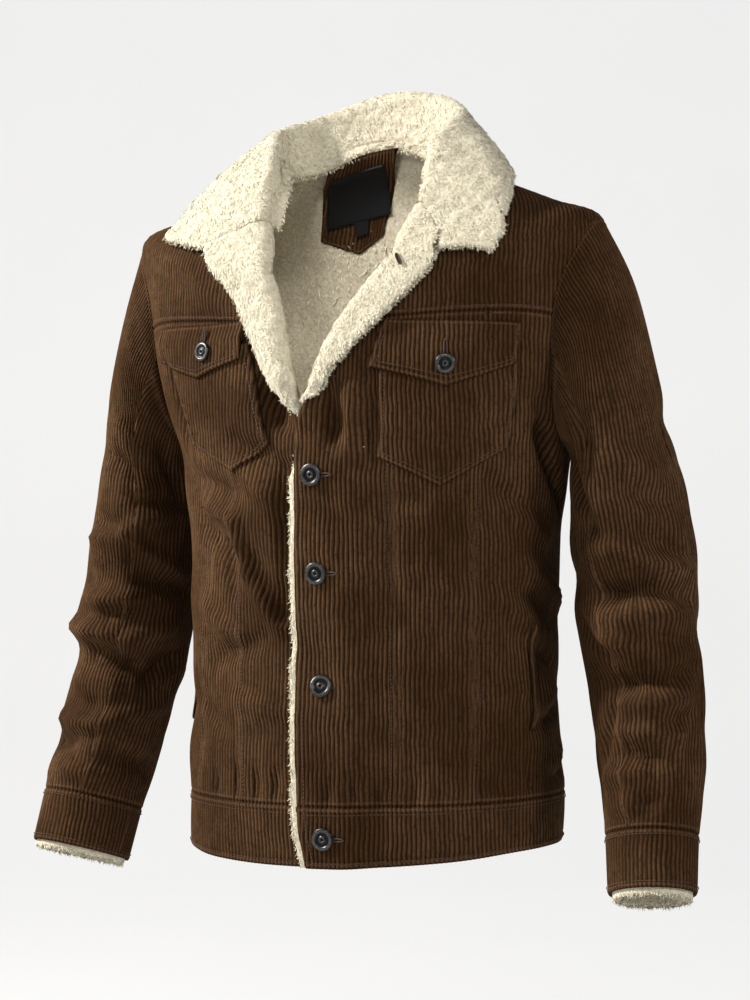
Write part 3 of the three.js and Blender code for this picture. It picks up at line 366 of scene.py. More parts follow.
# Creases read off the photograph: two ends in its pixels, width and depth in millimetres
BODY_CREASES = [
    [328, 388, 338, 440, 8, -6], [352, 385, 352, 450, 9, 4], [372, 402, 366, 455, 8, -3.5],
    [390, 492, 420, 500, 9, -3], [483, 477, 527, 512, 9, -5], [500, 500, 545, 540, 10, 4],
    [527, 566, 560, 603, 9, 4.5], [520, 590, 556, 626, 9, -4], [540, 650, 566, 690, 9, -4],
    [532, 731, 562, 700, 8, -5], [549, 783, 564, 761, 8, -4], [480, 700, 520, 690, 12, 3],
    [400, 620, 462, 655, 15, -2.5], [345, 600, 375, 640, 12, -2.5], [400, 700, 440, 735, 14, 2.5],
    [330, 500, 352, 560, 10, -2.5], [420, 520, 470, 560, 15, 2.5], [540, 400, 556, 470, 10, -5],
    [255, 345, 284, 425, 8, -6], [268, 330, 300, 420, 8, 4], [172, 366, 186, 440, 8, -5],
    [196, 478, 232, 494, 9, -4], [236, 440, 285, 470, 10, -4], [240, 470, 280, 510, 10, 4],
    [200, 520, 236, 560, 10, -4], [205, 600, 238, 640, 10, 4], [215, 660, 262, 640, 11, -4],
    [200, 690, 225, 730, 10, -4], [255, 560, 280, 610, 11, -3], [232, 700, 282, 712, 12, 3],
    [214, 772, 216, 792, 5, -2.5], [236, 768, 237, 794, 5, -2.5], [257, 772, 258, 795, 5, -2.5],
    [276, 774, 276, 796, 5, -2], [330, 784, 330, 804, 5, -2], [352, 780, 352, 804, 5, -2.5],
    [372, 784, 373, 804, 5, -2], [412, 782, 412, 803, 5, -2.5], [436, 784, 436, 803, 5, -2],
    [478, 778, 479, 800, 5, -2.5], [500, 776, 500, 796, 5, -2], [528, 770, 530, 790, 5, -2.5],
    [230, 250, 262, 296, 11, -2.5], [190, 262, 214, 306, 11, 2.5], [520, 214, 548, 262, 12, -2.5],
    [204, 504, 234, 522, 8, 5], [234, 522, 247, 572, 8, 5.5], [247, 572, 277, 626, 8, 5],
    [283, 470, 283, 614, 9, -5], [220, 545, 232, 590, 8, -4], [538, 430, 560, 500, 9, -6],
    [336, 416, 334, 440, 8, -2], [262, 380, 276, 420, 7, -4], [500, 596, 540, 640, 9, 3.5],
    [430, 560, 500, 640, 12, 2.5], [300, 640, 340, 700, 12, -2.5], [380, 500, 396, 640, 10, -2],
]
SLEEVE_CREASES = {
    "left": [
        [600, 596, 650, 588, 9, -10], [650, 588, 692, 600, 9, -7], [605, 616, 680, 612, 11, 6],
        [612, 684, 660, 686, 9, -9], [660, 686, 694, 667, 8, -6], [620, 704, 684, 700, 10, 5],
        [627, 749, 669, 760, 9, -6], [582, 622, 619, 669, 8, -5], [614, 699, 602, 759, 7, -4],
        [639, 801, 657, 802, 7, -4], [575, 380, 600, 480, 14, -4], [556, 440, 576, 500, 9, -6],
        [620, 520, 676, 548, 12, -5], [590, 545, 640, 556, 10, 5], [640, 350, 672, 420, 16, -3],
        [640, 640, 690, 642, 10, -4], [606, 780, 640, 770, 8, 4], [670, 722, 694, 712, 8, -4],
        [612, 826, 650, 818, 8, -4], [600, 270, 640, 330, 16, 3], [560, 350, 580, 420, 10, 4],
        [604, 452, 650, 470, 12, 4], [612, 486, 664, 500, 11, -4.5], [566, 385, 585, 470, 8, -6],
        [572, 470, 598, 540, 9, -5], [590, 400, 604, 470, 9, 3.5], [640, 560, 690, 570, 8, 4],
        [600, 640, 650, 652, 8, 4.5], [618, 730, 680, 736, 8, 4],
    ],
    "right": [
        [137, 581, 185, 592, 9, -9], [78, 627, 128, 640, 10, 6], [128, 640, 172, 627, 10, 6],
        [96, 648, 150, 679, 9, -9], [150, 679, 176, 657, 8, -7], [83, 609, 108, 618, 8, -5],
        [57, 742, 90, 735, 8, -5], [42, 820, 62, 812, 7, -4], [130, 370, 165, 400, 9, 5],
        [115, 540, 195, 500, 11, 5], [110, 455, 160, 480, 10, -5], [98, 520, 150, 548, 10, -5],
        [120, 410, 165, 440, 9, -5], [70, 690, 120, 712, 10, -5], [100, 720, 160, 706, 10, 5],
        [110, 750, 150, 770, 9, -5], [60, 770, 100, 776, 9, 4], [150, 290, 162, 350, 9, -4],
        [135, 320, 150, 380, 10, 4], [160, 440, 186, 500, 9, -5], [139, 501, 190, 503, 7, -5],
        [95, 538, 121, 532, 7, 4.5], [121, 532, 158, 559, 7, 5.5], [158, 559, 180, 574, 7, 4.5],
        [112, 612, 152, 604, 7, -5], [121, 668, 182, 652, 7, -4], [57, 740, 80, 749, 6, -4],
        [92, 596, 140, 600, 7, 4], [60, 716, 96, 726, 7, 4],
    ],
}


CREASE_GAIN = {"body": 2.0, "sleeve": 2.0}


def add_body_creases():
    around, ring = np.meshgrid(np.linspace(-178, 20, 400), np.linspace(0.1, 9.5, 300))
    BODY_FOLDS.extend(placed_folds(BODY_CREASES, around, body_form(around, ring), body_normal(around, ring),
                                   CREASE_GAIN["body"]))


def add_sleeve_creases(which, side):
    turn, station = np.meshgrid(np.linspace(0, 358, 240), np.linspace(0.2, CUFF_SEAM + 0.5, 260))
    points = sleeve_form(turn, station)
    middle = points.mean(axis=1, keepdims=True)
    sign = np.array([side, 1, 1])
    SLEEVE_FOLDS[which].extend(placed_folds(SLEEVE_CREASES[which], turn, points * sign,
                                            unit(points - middle) * sign, CREASE_GAIN["sleeve"]))


add_body_creases()
add_sleeve_creases("left", 1)
add_sleeve_creases("right", -1)

# Rows of cloth up the body, as in the solids
WAIST_ROW = 2.0
ARMPIT_ROW = 12.0
YOKE_ROW = 17.0
SHOULDER_ROW = 22.0
NECK_ROW = 30.0
DEGREES_A_ROW = 18.0
YOKE_RISE = 0.5
SIDE_SEAM_AT_HEM = 9.0
LEVEL_SEAM_POWER = 1.5


def side_ring(row):
    row = np.asarray(row, float)
    above_waist = mix(1, ARMPIT, (row - WAIST_ROW) / (ARMPIT_ROW - WAIST_ROW))
    low = np.where(row <= WAIST_ROW, row / WAIST_ROW, above_waist)
    arm = armhole(180 - (np.clip(row, ARMPIT_ROW, SHOULDER_ROW) - ARMPIT_ROW) * DEGREES_A_ROW)[1]
    high = mix(SHOULDER, NECK, (row - SHOULDER_ROW) / (NECK_ROW - SHOULDER_ROW))
    return np.where(row <= ARMPIT_ROW, low, np.where(row < SHOULDER_ROW, arm, high))


def side_around(row, back):
    row = np.asarray(row, float)
    turn = 180 - (np.clip(row, ARMPIT_ROW, SHOULDER_ROW) - ARMPIT_ROW) * DEGREES_A_ROW
    arm = (1 if back else -1) * ARMHOLE_HALF_ANGLE * np.sin(turn * DEG)
    return np.where(row <= ARMPIT_ROW, SIDE_SEAM_AT_HEM * (1 - side_ring(row) / ARMPIT),
                    np.where(row >= SHOULDER_ROW, 0.0, arm))


UNDER_SLEEVE = {"degrees": 1.8, "rows": 0.25}


def tucked_side(row, back):
    """The panel's side, which runs on a little way under the sleeve at the armhole."""
    fade = UNDER_SLEEVE["rows"]
    share = smooth(ARMPIT_ROW, ARMPIT_ROW + fade, row) * (1 - smooth(SHOULDER_ROW - fade, SHOULDER_ROW, row))
    return side_around(row, back) + (-1 if back else 1) * UNDER_SLEEVE["degrees"] * share


def middle_ring(ring):
    away = (ring - ARM_MIDDLE) / (SHOULDER - ARM_MIDDLE)
    return ring + YOKE_RISE * np.maximum(0, 1 - away * away)


FRONT = {
    "left": {
        "edge": [[0, -91], [0.5, -92.2], [1, -93], [2, -93.4], [4.1, -93], [4.45, -92], [4.7, -90.6],
                 [5.04, -88], [5.62, -84], [6.54, -77], [7.5, -70], [8.3, -62.5], [8.8, -56], [9.3, -42],
                 [9.65, -30], [10, -16]],
        "innerSeam": [[0, -66], [1, -66], [2, -65], [3, -66], [3.9, -67.5], [6.1, -69]],
        "outerSeam": [[0, -42], [1, -42], [2, -40], [3, -40], [3.9, -42], [6.1, -46]],
    },
    "right": {
        "edge": [[0, -96.2], [1, -96.3], [4.05, -96], [4.3, -92], [4.56, -88.2], [4.7, -87.2], [5.1, -84.9],
                 [5.62, -82.8], [6.52, -79.4], [7.5, -76], [8.5, -70], [9.1, -63], [9.5, -52], [9.75, -43],
                 [10, -32]],
        "innerSeam": [[0, -66], [1, -66], [2, -64], [3, -62], [3.9, -62], [6.1, -64]],
        "outerSeam": [[0, -42], [1, -42], [2, -43], [3, -48], [3.9, -50], [6.1, -46]],
    },
}


def front_ring(which, around, row):
    """The ring of a front's point: the rows rise towards the middle so that the yoke seam runs level."""
    ring_side = side_ring(row)
    ring_middle = middle_ring(ring_side)
    edge = curve_at(FRONT[which]["edge"], ring_middle)
    across = np.clip((around - edge) / (side_around(row, False) - edge), 0, 1)
    return mix(ring_middle, ring_side, across ** LEVEL_SEAM_POWER)


def front_edge(which, row):
    return curve_at(FRONT[which]["edge"], middle_ring(side_ring(row)))


def front_seam(which, seam, row):
    return curve_at(FRONT[which][seam], middle_ring(side_ring(row)))


def front_base(which, around, ring):
    return body_form(around, ring) if which == "left" else body_form(-180 - around, ring)


def front_point(which, around, ring, extra=0.0):
    if which == "left":
        return body_point(around, ring, True, extra)
    return body_point(-180 - around, ring, False, extra)


# Mesh building


def grid_object(name, points, uv=None, keep=None, flip=False, loop=False, depth=None, edges=None,
                second=None):
    """A sheet from a grid of points in millimetres. keep marks the cells that stay, loop closes the
    columns, depth is how far the open edges turn inwards, edges is each point's distance from the
    seams, and the cells marked second get the second material."""
    rows, columns = points.shape[0], points.shape[1]
    bm = bmesh.new()
    bmesh.ops.create_grid(bm, x_segments=columns - 1, y_segments=rows - 1, size=1.0)
    bm.verts.ensure_lookup_table()
    mesh = bpy.data.meshes.new(name)
    bm.to_mesh(mesh)
    bm.free()
    flat = np.empty(len(mesh.vertices) * 3, np.float32)
    mesh.vertices.foreach_get("co", flat)
    flat = flat.reshape(-1, 3)
    j = np.rint((flat[:, 0] + 1) / 2 * (columns - 1)).astype(int)
    i = np.rint((flat[:, 1] + 1) / 2 * (rows - 1)).astype(int)
    mesh.vertices.foreach_set("co", (points[i, j] * MM).astype(np.float32).ravel())
    corner = np.empty(len(mesh.loops), np.int32)
    mesh.loops.foreach_get("vertex_index", corner)
    for title, values in (("cloth", uv), ("seam", edges)):
        if values is not None:
            layer = mesh.uv_layers.new(name=title)
            layer.data.foreach_set("uv", values[i[corner], j[corner]].astype(np.float32).ravel())
    bm = bmesh.new()
    bm.from_mesh(mesh)
    if keep is not None or second is not None:
        drop = []
        for face in bm.faces:
            cell_i = min(i[v.index] for v in face.verts)
            cell_j = min(j[v.index] for v in face.verts)
            if keep is not None and not keep[cell_i, cell_j]:
                drop.append(face)
            if second is not None and second[cell_i, cell_j]:
                face.material_index = 1
        bmesh.ops.delete(bm, geom=drop, context="FACES")
    if keep is not None or loop:
        bmesh.ops.remove_doubles(bm, verts=bm.verts, dist=0.02 * MM)
    if flip:
        bmesh.ops.reverse_faces(bm, faces=bm.faces)
    if depth:
        bm.normal_update()
        border = [e for e in bm.edges if e.is_boundary]
        inward = {v: v.normal.copy() for e in border for v in e.verts}
        where = {v: v.co.copy() for v in inward}
        made = bmesh.ops.extrude_edge_only(bm, edges=border)["geom"]
        new = [g for g in made if isinstance(g, bmesh.types.BMVert)]
        lookup = {tuple(round(c, 6) for c in co): inward[v] for v, co in where.items()}
        for v in new:
            v.co -= lookup[tuple(round(c, 6) for c in v.co)] * depth * MM
    for face in bm.faces:
        face.smooth = True
    bm.to_mesh(mesh)
    bm.free()
    mesh.update()
    piece = bpy.data.objects.new(name, mesh)
    bpy.context.scene.collection.objects.link(piece)
    return piece


def outward_flip(points, normals):
    """True where the grid's own winding faces against the given normals."""
    a = points[1:, 1:] - points[:-1, :-1]
    b = points[1:, :-1] - points[:-1, 1:]
    return bool(np.sum(np.cross(a, b) * normals[:-1, :-1]) < 0)


SEAM = {"dip": 0.9, "width": 1.4, "stitch": 0.45, "stitchAt": 6.0, "stitchWidth": 1.3,
        "bulge": 0.4, "bulgeAt": 3.6}
ROW_STEP = 7.0
ROW_ENDS = [0, 0.9, 2.0, 3.6, 5.2, 6.4, 8.0, 11.0]


SEAM_REACH = 12.0


def rows_along(line, low, high, step=ROW_STEP):
    """Row numbers from low to high, about step apart and closer at both ends. line(rows) gives points."""
    fine = np.linspace(low, high, 120)
    length = np.concatenate([[0], np.cumsum(np.linalg.norm(np.diff(line(fine), axis=0), axis=1))])
    total = length[-1]
    ends = [e for e in ROW_ENDS if e < total / 2]
    count = max(1, int(round((total - 2 * ends[-1]) / step)))
    middle = np.linspace(ends[-1], total - ends[-1], count + 1)
    wanted = np.concatenate([ends[:-1], middle, [total - e for e in reversed(ends[:-1])]])
    return np.interp(wanted, length, fine), wanted


WIGGLE = ((0.42, 0.105, 0.021), (0.26, 0.23, 0.047), (0.16, -0.3, 0.09))
EDGE_TURN = 6.0
NARROW_PANEL = 80.0
SIDE_SEAM_SHARE = 0.6
SLEEVE_SEAM_SHARE = 0.3
SEAM_PALES = 3.2


def waled_sheet(name, form, skin, bounds, rows, along, span, zero, level=True, stitched=(), lift=None,
                depth=EDGE_TURN, samples=240, side_share=SIDE_SEAM_SHARE):
    """A corduroy panel. Its columns follow the wales, four to a wale, and are cut off at its seams.
    form(q, v) is the plain surface, skin(q, v, out) the finished one, bounds(v) the panel's two sides."""
    q = np.linspace(span[0], span[1], samples)
    quarter = WALE["pitch"] / WALE["columns"]
    lines, ends = [], []
    for v in rows:
        line = form(q, np.full_like(q, v))
        step = np.diff(line[:, :2] if level else line, axis=0)
        s = np.concatenate([[0], np.cumsum(np.linalg.norm(step, axis=1))])
        s = s - zero(q, line, s)
        lines.append(s)
        ends.append(np.interp(bounds(v), q, s))
    ends = np.array(ends)
    first = math.floor(ends[:, 0].min() / quarter)
    last = math.ceil(ends[:, 1].max() / quarter)
    columns = np.arange(first, last + 1) * quarter
    s = np.clip(columns[None, :], ends[:, :1], ends[:, 1:])
    at = np.stack([np.interp(s[k], lines[k], q) for k in range(len(rows))])
    v = np.repeat(np.asarray(rows)[:, None], len(columns), 1)
    total = along[-1]
    run = np.asarray(along)[:, None] + 0 * s
    wiggle = sum(high * np.sin(run * down_rate + s * cross_rate + k * 2.1)
                 for k, (high, down_rate, cross_rate) in enumerate(WIGGLE))
    phase = 0.5 + 0.5 * np.cos(2 * np.pi * (s + wiggle) / WALE["pitch"])
    out = -WALE["depth"] * phase ** WALE["sharpness"]
    gaps = [s - ends[:, :1], ends[:, 1:] - s, run, total - run]
    for edge_name, gap in zip(("low", "high", "start", "end"), gaps):
        share = side_share if edge_name in ("low", "high") else 1.0
        out = out - share * SEAM["dip"] * np.exp(-(gap / SEAM["width"]) ** 2)
        if edge_name in stitched:
            out = out - SEAM["stitch"] * np.exp(-((gap - SEAM["stitchAt"]) / SEAM["stitchWidth"]) ** 2)
            out = out + SEAM["bulge"] * np.exp(-((gap - SEAM["bulgeAt"]) / SEAM["stitchWidth"]) ** 2)
    if lift is not None:
        out = out + lift(at, v)
    points = skin(at, v, out)
    below = columns[None, :] <= ends[:, :1] + 1e-6
    above = columns[None, :] >= ends[:, 1:] - 1e-6
    dead = lambda m: m[1:, 1:] & m[:-1, 1:] & m[1:, :-1] & m[:-1, :-1]
    keep = ~(dead(below) | dead(above))
    uv = np.stack([(s + wiggle) / WALE["pitch"], run / WALE["pitch"]], -1)
    middle = skin(at, v, out + 5.0)
    depth = min(depth, CORDUROY) if total < NARROW_PANEL else depth
    near = [np.minimum(*gaps[:2]) + SEAM_PALES * (1 - side_share), np.minimum(*gaps[2:])]
    edges = np.stack([np.clip(g, 0, SEAM_REACH) / SEAM_REACH for g in near], -1)
    piece = grid_object(name, points, uv, keep, outward_flip(points, middle - points), depth=depth,
                        edges=edges)
    width = ends[:, 1] - ends[:, 0]
    area = float(np.sum((width[1:] + width[:-1]) / 2 * np.diff(along)))
    piece["cut"] = [float(width.max()) * MM, float(total) * MM, area * MM * MM]
    return piece


# The welts work out at 7 mm across; a cut narrower than this is given this width. A declared side has
# to be at least 10 mm, so they state this width.
NARROWEST_CUT = 0.011


def declare(piece, held, rests_on, replaces=(), slot="corduroy"):
    """Every cloth piece rides on the one body, and the parts it replaces are hidden."""
    width, length, area = piece["cut"]
    del piece["cut"]
    width, area = (NARROWEST_CUT, NARROWEST_CUT * length) if width < NARROWEST_CUT else (width, area)
    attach(piece, "root")
    if replaces:
        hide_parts(*replaces)
    min(area, width * length)
    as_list(rests_on)


WALE_ZERO_X = 10.0
FRONT_SPAN = (-101.0, 12.0)
BACK_SPAN = (-12.0, 192.0)


def front_zero(which):
    sign = 1 if which == "left" else -1
    return lambda q, line, s: np.interp(WALE_ZERO_X, sign * line[:, 0], s)


def front_sheet(name, which, row0, row1, low, high, stitched):
    form = lambda q, v: front_base(which, q, front_ring(which, q, v))
    skin = lambda q, v, out: front_point(which, q, front_ring(which, q, v), out)
    bounds = lambda v: [float(low(v)), float(high(v))]
    middle = lambda v: form((low(v) + high(v)) / 2, v)
    rows, along = rows_along(middle, row0, row1)
    return waled_sheet(name, form, skin, bounds, rows, along, FRONT_SPAN, front_zero(which),
                       stitched=stitched)


def back_sheet(name, row0, row1, stitched):
    form = lambda q, v: body_form(q, side_ring(v))
    skin = lambda q, v, out: body_point(q, side_ring(v), False, out)
    bounds = lambda v: [float(tucked_side(v, True)), 180 - float(tucked_side(v, True))]
    middle = lambda v: form(np.full_like(v, 90.0), v)
    rows, along = rows_along(middle, row0, row1)
    zero = lambda q, line, s: np.interp(90.0, q, s)
    return waled_sheet(name, form, skin, bounds, rows, along, BACK_SPAN, zero, stitched=stitched,
                       samples=400)


def sleeve_sheet(name, side, turn0, turn1, station0, station1, stitched):
    form = lambda q, v: sleeve_form(q, v)
    skin = lambda q, v, out: sleeve_point(q, v, side, out)
    bounds = lambda v: [turn0, turn1]
    centre = (turn0 + turn1) / 2
    middle = lambda v: form(np.full_like(v, centre), v)
    rows, along = rows_along(middle, station0, station1)
    zero = lambda q, line, s: np.interp(centre, q, s)
    return waled_sheet(name, form, skin, bounds, rows, along, (turn0 - 4, turn1 + 4), zero, level=False,
                       stitched=stitched, samples=300, side_share=SLEEVE_SEAM_SHARE)


corduroy_pieces = []


def add(piece, *args, **kwargs):
    declare(piece, *args, **kwargs)
    corduroy_pieces.append(piece)
    return piece


for which in ("left", "right"):
    edge = lambda v, w=which: front_edge(w, v)
    seam_a = lambda v, w=which: front_seam(w, "innerSeam", v)
    seam_b = lambda v, w=which: front_seam(w, "outerSeam", v)
    side = lambda v: tucked_side(v, False)
    add(front_sheet(f"waistband_{which}_cloth", which, 0, WAIST_ROW, edge, side, ("start", "end")), "hung",
        [f"front_centre_{which}"], [f"waistband_{which}"])
    add(front_sheet(f"front_centre_{which}_cloth", which, WAIST_ROW, YOKE_ROW, edge, seam_a, ("high",)),
        "hung", [f"front_yoke_{which}"], [f"front_centre_{which}"])
    add(front_sheet(f"front_middle_{which}_cloth", which, WAIST_ROW, YOKE_ROW, seam_a, seam_b, ()), "hung",
        [f"front_yoke_{which}"], [f"front_middle_{which}"])
    add(front_sheet(f"front_side_{which}_cloth", which, WAIST_ROW, YOKE_ROW, seam_b, side, ("low",)), "hung",
        [f"front_yoke_{which}"], [f"front_side_{which}"])
    add(front_sheet(f"front_yoke_{which}_cloth", which, YOKE_ROW, NECK_ROW, edge, side, ("start",)), "hung",
        ["back_yoke"], [f"front_yoke_{which}"])
    sign = 1 if which == "left" else -1
    add(sleeve_sheet(f"sleeve_top_{which}_cloth", sign, SLEEVE_BACK_SEAM - 360, SLEEVE_FRONT_SEAM, 0,
                     CUFF_SEAM, ("start",)), "hung", [f"front_yoke_{which}"], [f"sleeve_top_{which}"])
    add(sleeve_sheet(f"sleeve_under_{which}_cloth", sign, SLEEVE_FRONT_SEAM, SLEEVE_BACK_SEAM, 0,
                     CUFF_SEAM, ()),
        "hung", [f"sleeve_top_{which}"], [f"sleeve_under_{which}"])
    add(sleeve_sheet(f"cuff_{which}_cloth", sign, -180, 180, CUFF_SEAM, CUFF_END, ("start", "end")), "hung",
        [f"sleeve_top_{which}"], [f"cuff_{which}"])
add(back_sheet("waistband_back_cloth", 0, WAIST_ROW, ("start", "end")), "hung", ["back"], ["waistband_back"])
add(back_sheet("back_cloth", WAIST_ROW, YOKE_ROW, ()), "hung", ["back_yoke"], ["back"])
add(back_sheet("back_yoke_cloth", YOKE_ROW, NECK_ROW, ("start",)), "hung", ["collar"], ["back_yoke"])

# Pockets, flaps and welts lie on the fronts
ON_PANEL = 1.3
POCKET_WALL = 2.0
POCKET_FULLNESS = 1.6
FLAP = {"wall": 2.4, "clearOfPocket": 5.8, "opensAt": 0.5}
CHEST = {
    "left": {
        "pocket": {"topAround": [-74, -36.5], "topRing": [5.6, 5.35], "footAround": [-72.5, -31],
                   "footRing": [4.1, 4.1], "tipAt": 0.46, "tipDrop": -0.33},
        "flap": {"topAround": [-72, -35.5], "topRing": [5.95, 5.5], "footAround": [-75.5, -36],
                 "footRing": [5.14, 4.98], "tipAt": 0.5, "tipDrop": -0.26},
        "button": [-56.2, 5.09],
    },
    "right": {
        "pocket": {"topAround": [-73, -40], "topRing": [5.6, 5.4], "footAround": [-79, -48.5],
                   "footRing": [4.25, 4.2], "tipAt": 0.42, "tipDrop": -0.28},
        "flap": {"topAround": [-72.5, -38], "topRing": [6.02, 5.6], "footAround": [-71.5, -38.5],
                 "footRing": [5.3, 5.1], "tipAt": 0.42, "tipDrop": -0.24},
        "button": [-60.3, 5.36],
    },
}
WELT = {"topAround": [-15.6, -12.6], "topRing": [2.6, 2.6], "footAround": [-15.6, -12.6],
        "footRing": [1.7, 1.7], "tipAt": 0.5, "tipDrop": 0}


def patch_bounds(patch, down):
    return [mix(patch["topAround"][k], patch["footAround"][k], down) for k in (0, 1)]


def patch_ring(patch, around, down):
    low, high = patch_bounds(patch, down)
    across = np.clip((around - low) / (high - low), 0, 1)
    half = np.where(across < patch["tipAt"], patch["tipAt"], 1 - patch["tipAt"])
    point = 1 - np.abs(across - patch["tipAt"]) / half
    top = mix(patch["topRing"][0], patch["topRing"][1], across)
    foot = mix(patch["footRing"][0], patch["footRing"][1], across) + patch["tipDrop"] * point
    return mix(top, foot, down)


def patch_sheet(name, which, patch, lift, stitched, depth=CORDUROY):
    form = lambda q, v: front_base(which, q, patch_ring(patch, q, v))
    skin = lambda q, v, out: front_point(which, q, patch_ring(patch, q, v), out)
    bounds = lambda v: patch_bounds(patch, v)
    tip = lambda v: mix(*patch_bounds(patch, v), patch["tipAt"])
    rows, along = rows_along(lambda v: form(tip(v), v), 0, 1, 4.5)
    return waled_sheet(name, form, skin, bounds, rows, along, FRONT_SPAN, front_zero(which),
                       stitched=stitched, lift=lambda q, v: lift(v) + 0 * q, depth=depth, side_share=1.0)


def flap_lift(down):
    return mix(ON_PANEL, FLAP["clearOfPocket"], smooth(0, FLAP["opensAt"], down)) + FLAP["wall"]


for which in ("left", "right"):
    chest = CHEST[which]
    add(patch_sheet(f"chest_pocket_{which}_cloth", which, chest["pocket"],
                    lambda v: ON_PANEL + POCKET_WALL + POCKET_FULLNESS * np.sin(np.pi * np.clip(v, 0, 1)),
                    ("low", "high", "end")),
        "laid", [f"front_middle_{which}"], [f"chest_pocket_{which}"])
    add(patch_sheet(f"pocket_flap_{which}_cloth", which, chest["flap"], flap_lift, ("low", "high", "end"),
                    FLAP["wall"] + 1.0), "hung", [f"front_yoke_{which}"], [f"pocket_flap_{which}"])
    add(patch_sheet(f"hand_pocket_welt_{which}_cloth", which, WELT, lambda v: ON_PANEL + POCKET_WALL, ()),
        "laid", [f"front_side_{which}"], [f"hand_pocket_welt_{which}"])


# Pile: curled wool on a knit, as a closed wall with rounded edges


def cell_noise(p, size, seed):
    """Distance to the nearest of scattered points, one to a cell, as a share of the cell's size."""
    g = p / size
    base = np.floor(g)
    best = np.full(p.shape[:-1], 9.0)
    for dx in (-1, 0, 1):
        for dy in (-1, 0, 1):
            for dz in (-1, 0, 1):
                cell = base + np.array([dx, dy, dz])
                h = np.stack([
                    np.modf(np.abs(np.sin(cell @ np.array([12.99, 78.23, 37.72]) + seed) * 43758.5))[0],
                    np.modf(np.abs(np.sin(cell @ np.array([39.35, 11.14, 83.16]) + seed) * 24634.6))[0],
                    np.modf(np.abs(np.sin(cell @ np.array([73.16, 52.24, 9.15]) + seed) * 56445.2))[0],
                ], -1)
                best = np.minimum(best, np.sum((cell + h - g) ** 2, -1))
    return np.sqrt(best)


CURL = {"size": 11.0, "height": 1.7, "fineSize": 5.0, "fineHeight": 1.1, "level": 0.5}


def curls(points, share=1.0):
    coarse = CURL["level"] - cell_noise(points, CURL["size"], 1.7)
    fine = CURL["level"] - cell_noise(points, CURL["fineSize"], 5.3)
    return share * (CURL["height"] * coarse + CURL["fineHeight"] * fine)


# Fleece: short curved locks that stand a little off the pile and lie mostly downwards
LOCK = {"length": 4.4, "width": 1.15, "root": -0.6, "rise": 0.62, "curl": 0.5, "sway": 1.1}


def smooth_angle(p, size, seed):
    """A slowly turning angle over space."""
    q = p / size
    return (np.sin(q @ np.array([1.7, 0.9, 2.3]) + seed) + np.sin(q @ np.array([-2.1, 1.3, 1.1]) + 2 * seed)
            + np.sin(q @ np.array([0.6, -2.7, 1.9]) + 3 * seed))


def fleece(name, points, normals, count, keep=None, scale=1.0):
    """Locks of wool scattered over a grid of points, as one fringe."""
    rows, columns = points.shape[:2]
    i = RNG.random(count * 2) * (rows - 1.001)
    j = RNG.random(count * 2) * (columns - 1.001)
    if keep is not None:
        wanted = keep[i.astype(int), j.astype(int)]
        i, j = i[wanted], j[wanted]
    i, j = i[:count], j[:count]
    count = len(i)
    a, b, u, w = i.astype(int), j.astype(int), (i % 1)[:, None], (j % 1)[:, None]

    def at(grid):
        return mix(mix(grid[a, b], grid[a, b + 1], w), mix(grid[a + 1, b], grid[a + 1, b + 1], w), u)

    root, normal = at(points), unit(at(normals))
    down = unit(np.array([0.12, 0.0, -1.0]) - normal * (normal @ np.array([0.12, 0.0, -1.0]))[:, None])
    side = np.cross(normal, down)
    turn = LOCK["sway"] * 0.45 * smooth_angle(root, 9.0, 0.8)
    turn = (turn + LOCK["sway"] * RNG.normal(0, 0.5, count))[:, None]
    lie = down * np.cos(turn) + side * np.sin(turn)
    rise = LOCK["rise"] * RNG.uniform(0.35, 1.25, count)[:, None]
    way = unit(lie + normal * rise)
    length = scale * LOCK["length"] * RNG.uniform(0.55, 1.25, count)[:, None]
    half = np.cross(way, normal) * (0.5 * LOCK["width"] * RNG.uniform(0.7, 1.35, count))[:, None]
    base = root + normal * LOCK["root"]
    middle = base + way * length * 0.5
    bend = unit(way - normal * LOCK["curl"] * RNG.uniform(0.4, 1.6, count)[:, None])
    tip = middle + bend * length * 0.5
    grid = np.empty((count * 3, 2, 3))
    grid[0::3, 0], grid[0::3, 1] = base - half, base + half
    grid[1::3, 0], grid[1::3, 1] = middle - half * 0.95, middle + half * 0.95
    grid[2::3, 0], grid[2::3, 1] = tip - half * 0.25, tip + half * 0.25
    uv = np.empty((count * 3, 2, 2))
    uv[..., 0] = np.repeat(RNG.random(count), 3)[:, None]
    uv[..., 1] = np.tile([0.0, 0.55, 1.0], count)[:, None]
    stay = np.ones((count * 3 - 1, 1), bool)
    stay[2::3] = False
    facing = np.cross(grid[1::3, 1] - grid[0::3, 0], grid[1::3, 0] - grid[0::3, 1])
    flip = bool(np.sum(facing * normal) < 0)
    piece = grid_object(name, grid, uv, stay, flip)
    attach(piece, "root")
    return piece


def resample(grid, count, axis):
    """A grid with count lines across, evenly spaced by mean length."""
    g = np.moveaxis(grid, axis, 0)
    step = np.linalg.norm(np.diff(g, axis=0), axis=-1)
    length = np.concatenate([np.zeros((1, g.shape[1])), np.cumsum(step, axis=0)])
    total = length[-1]
    out = np.empty((count, g.shape[1], 3))
    for k in range(g.shape[1]):
        wanted = np.linspace(0, total[k], count)
        for c in range(3):
            out[:, k, c] = np.interp(wanted, length[:, k], g[:, k, c])
    return np.moveaxis(out, 0, axis)


def soften(grid, times):
    for _ in range(times):
        inner = (grid[:-2] + 2 * grid[1:-1] + grid[2:]) / 4
        grid = np.concatenate([grid[:1], inner, grid[-1:]])
        inner = (grid[:, :-2] + 2 * grid[:, 1:-1] + grid[:, 2:]) / 4
        grid = np.concatenate([grid[:, :1], inner, grid[:, -1:]], axis=1)
    return grid


def grid_normals(grid):
    return unit(np.cross(np.gradient(grid, axis=0), np.gradient(grid, axis=1)))


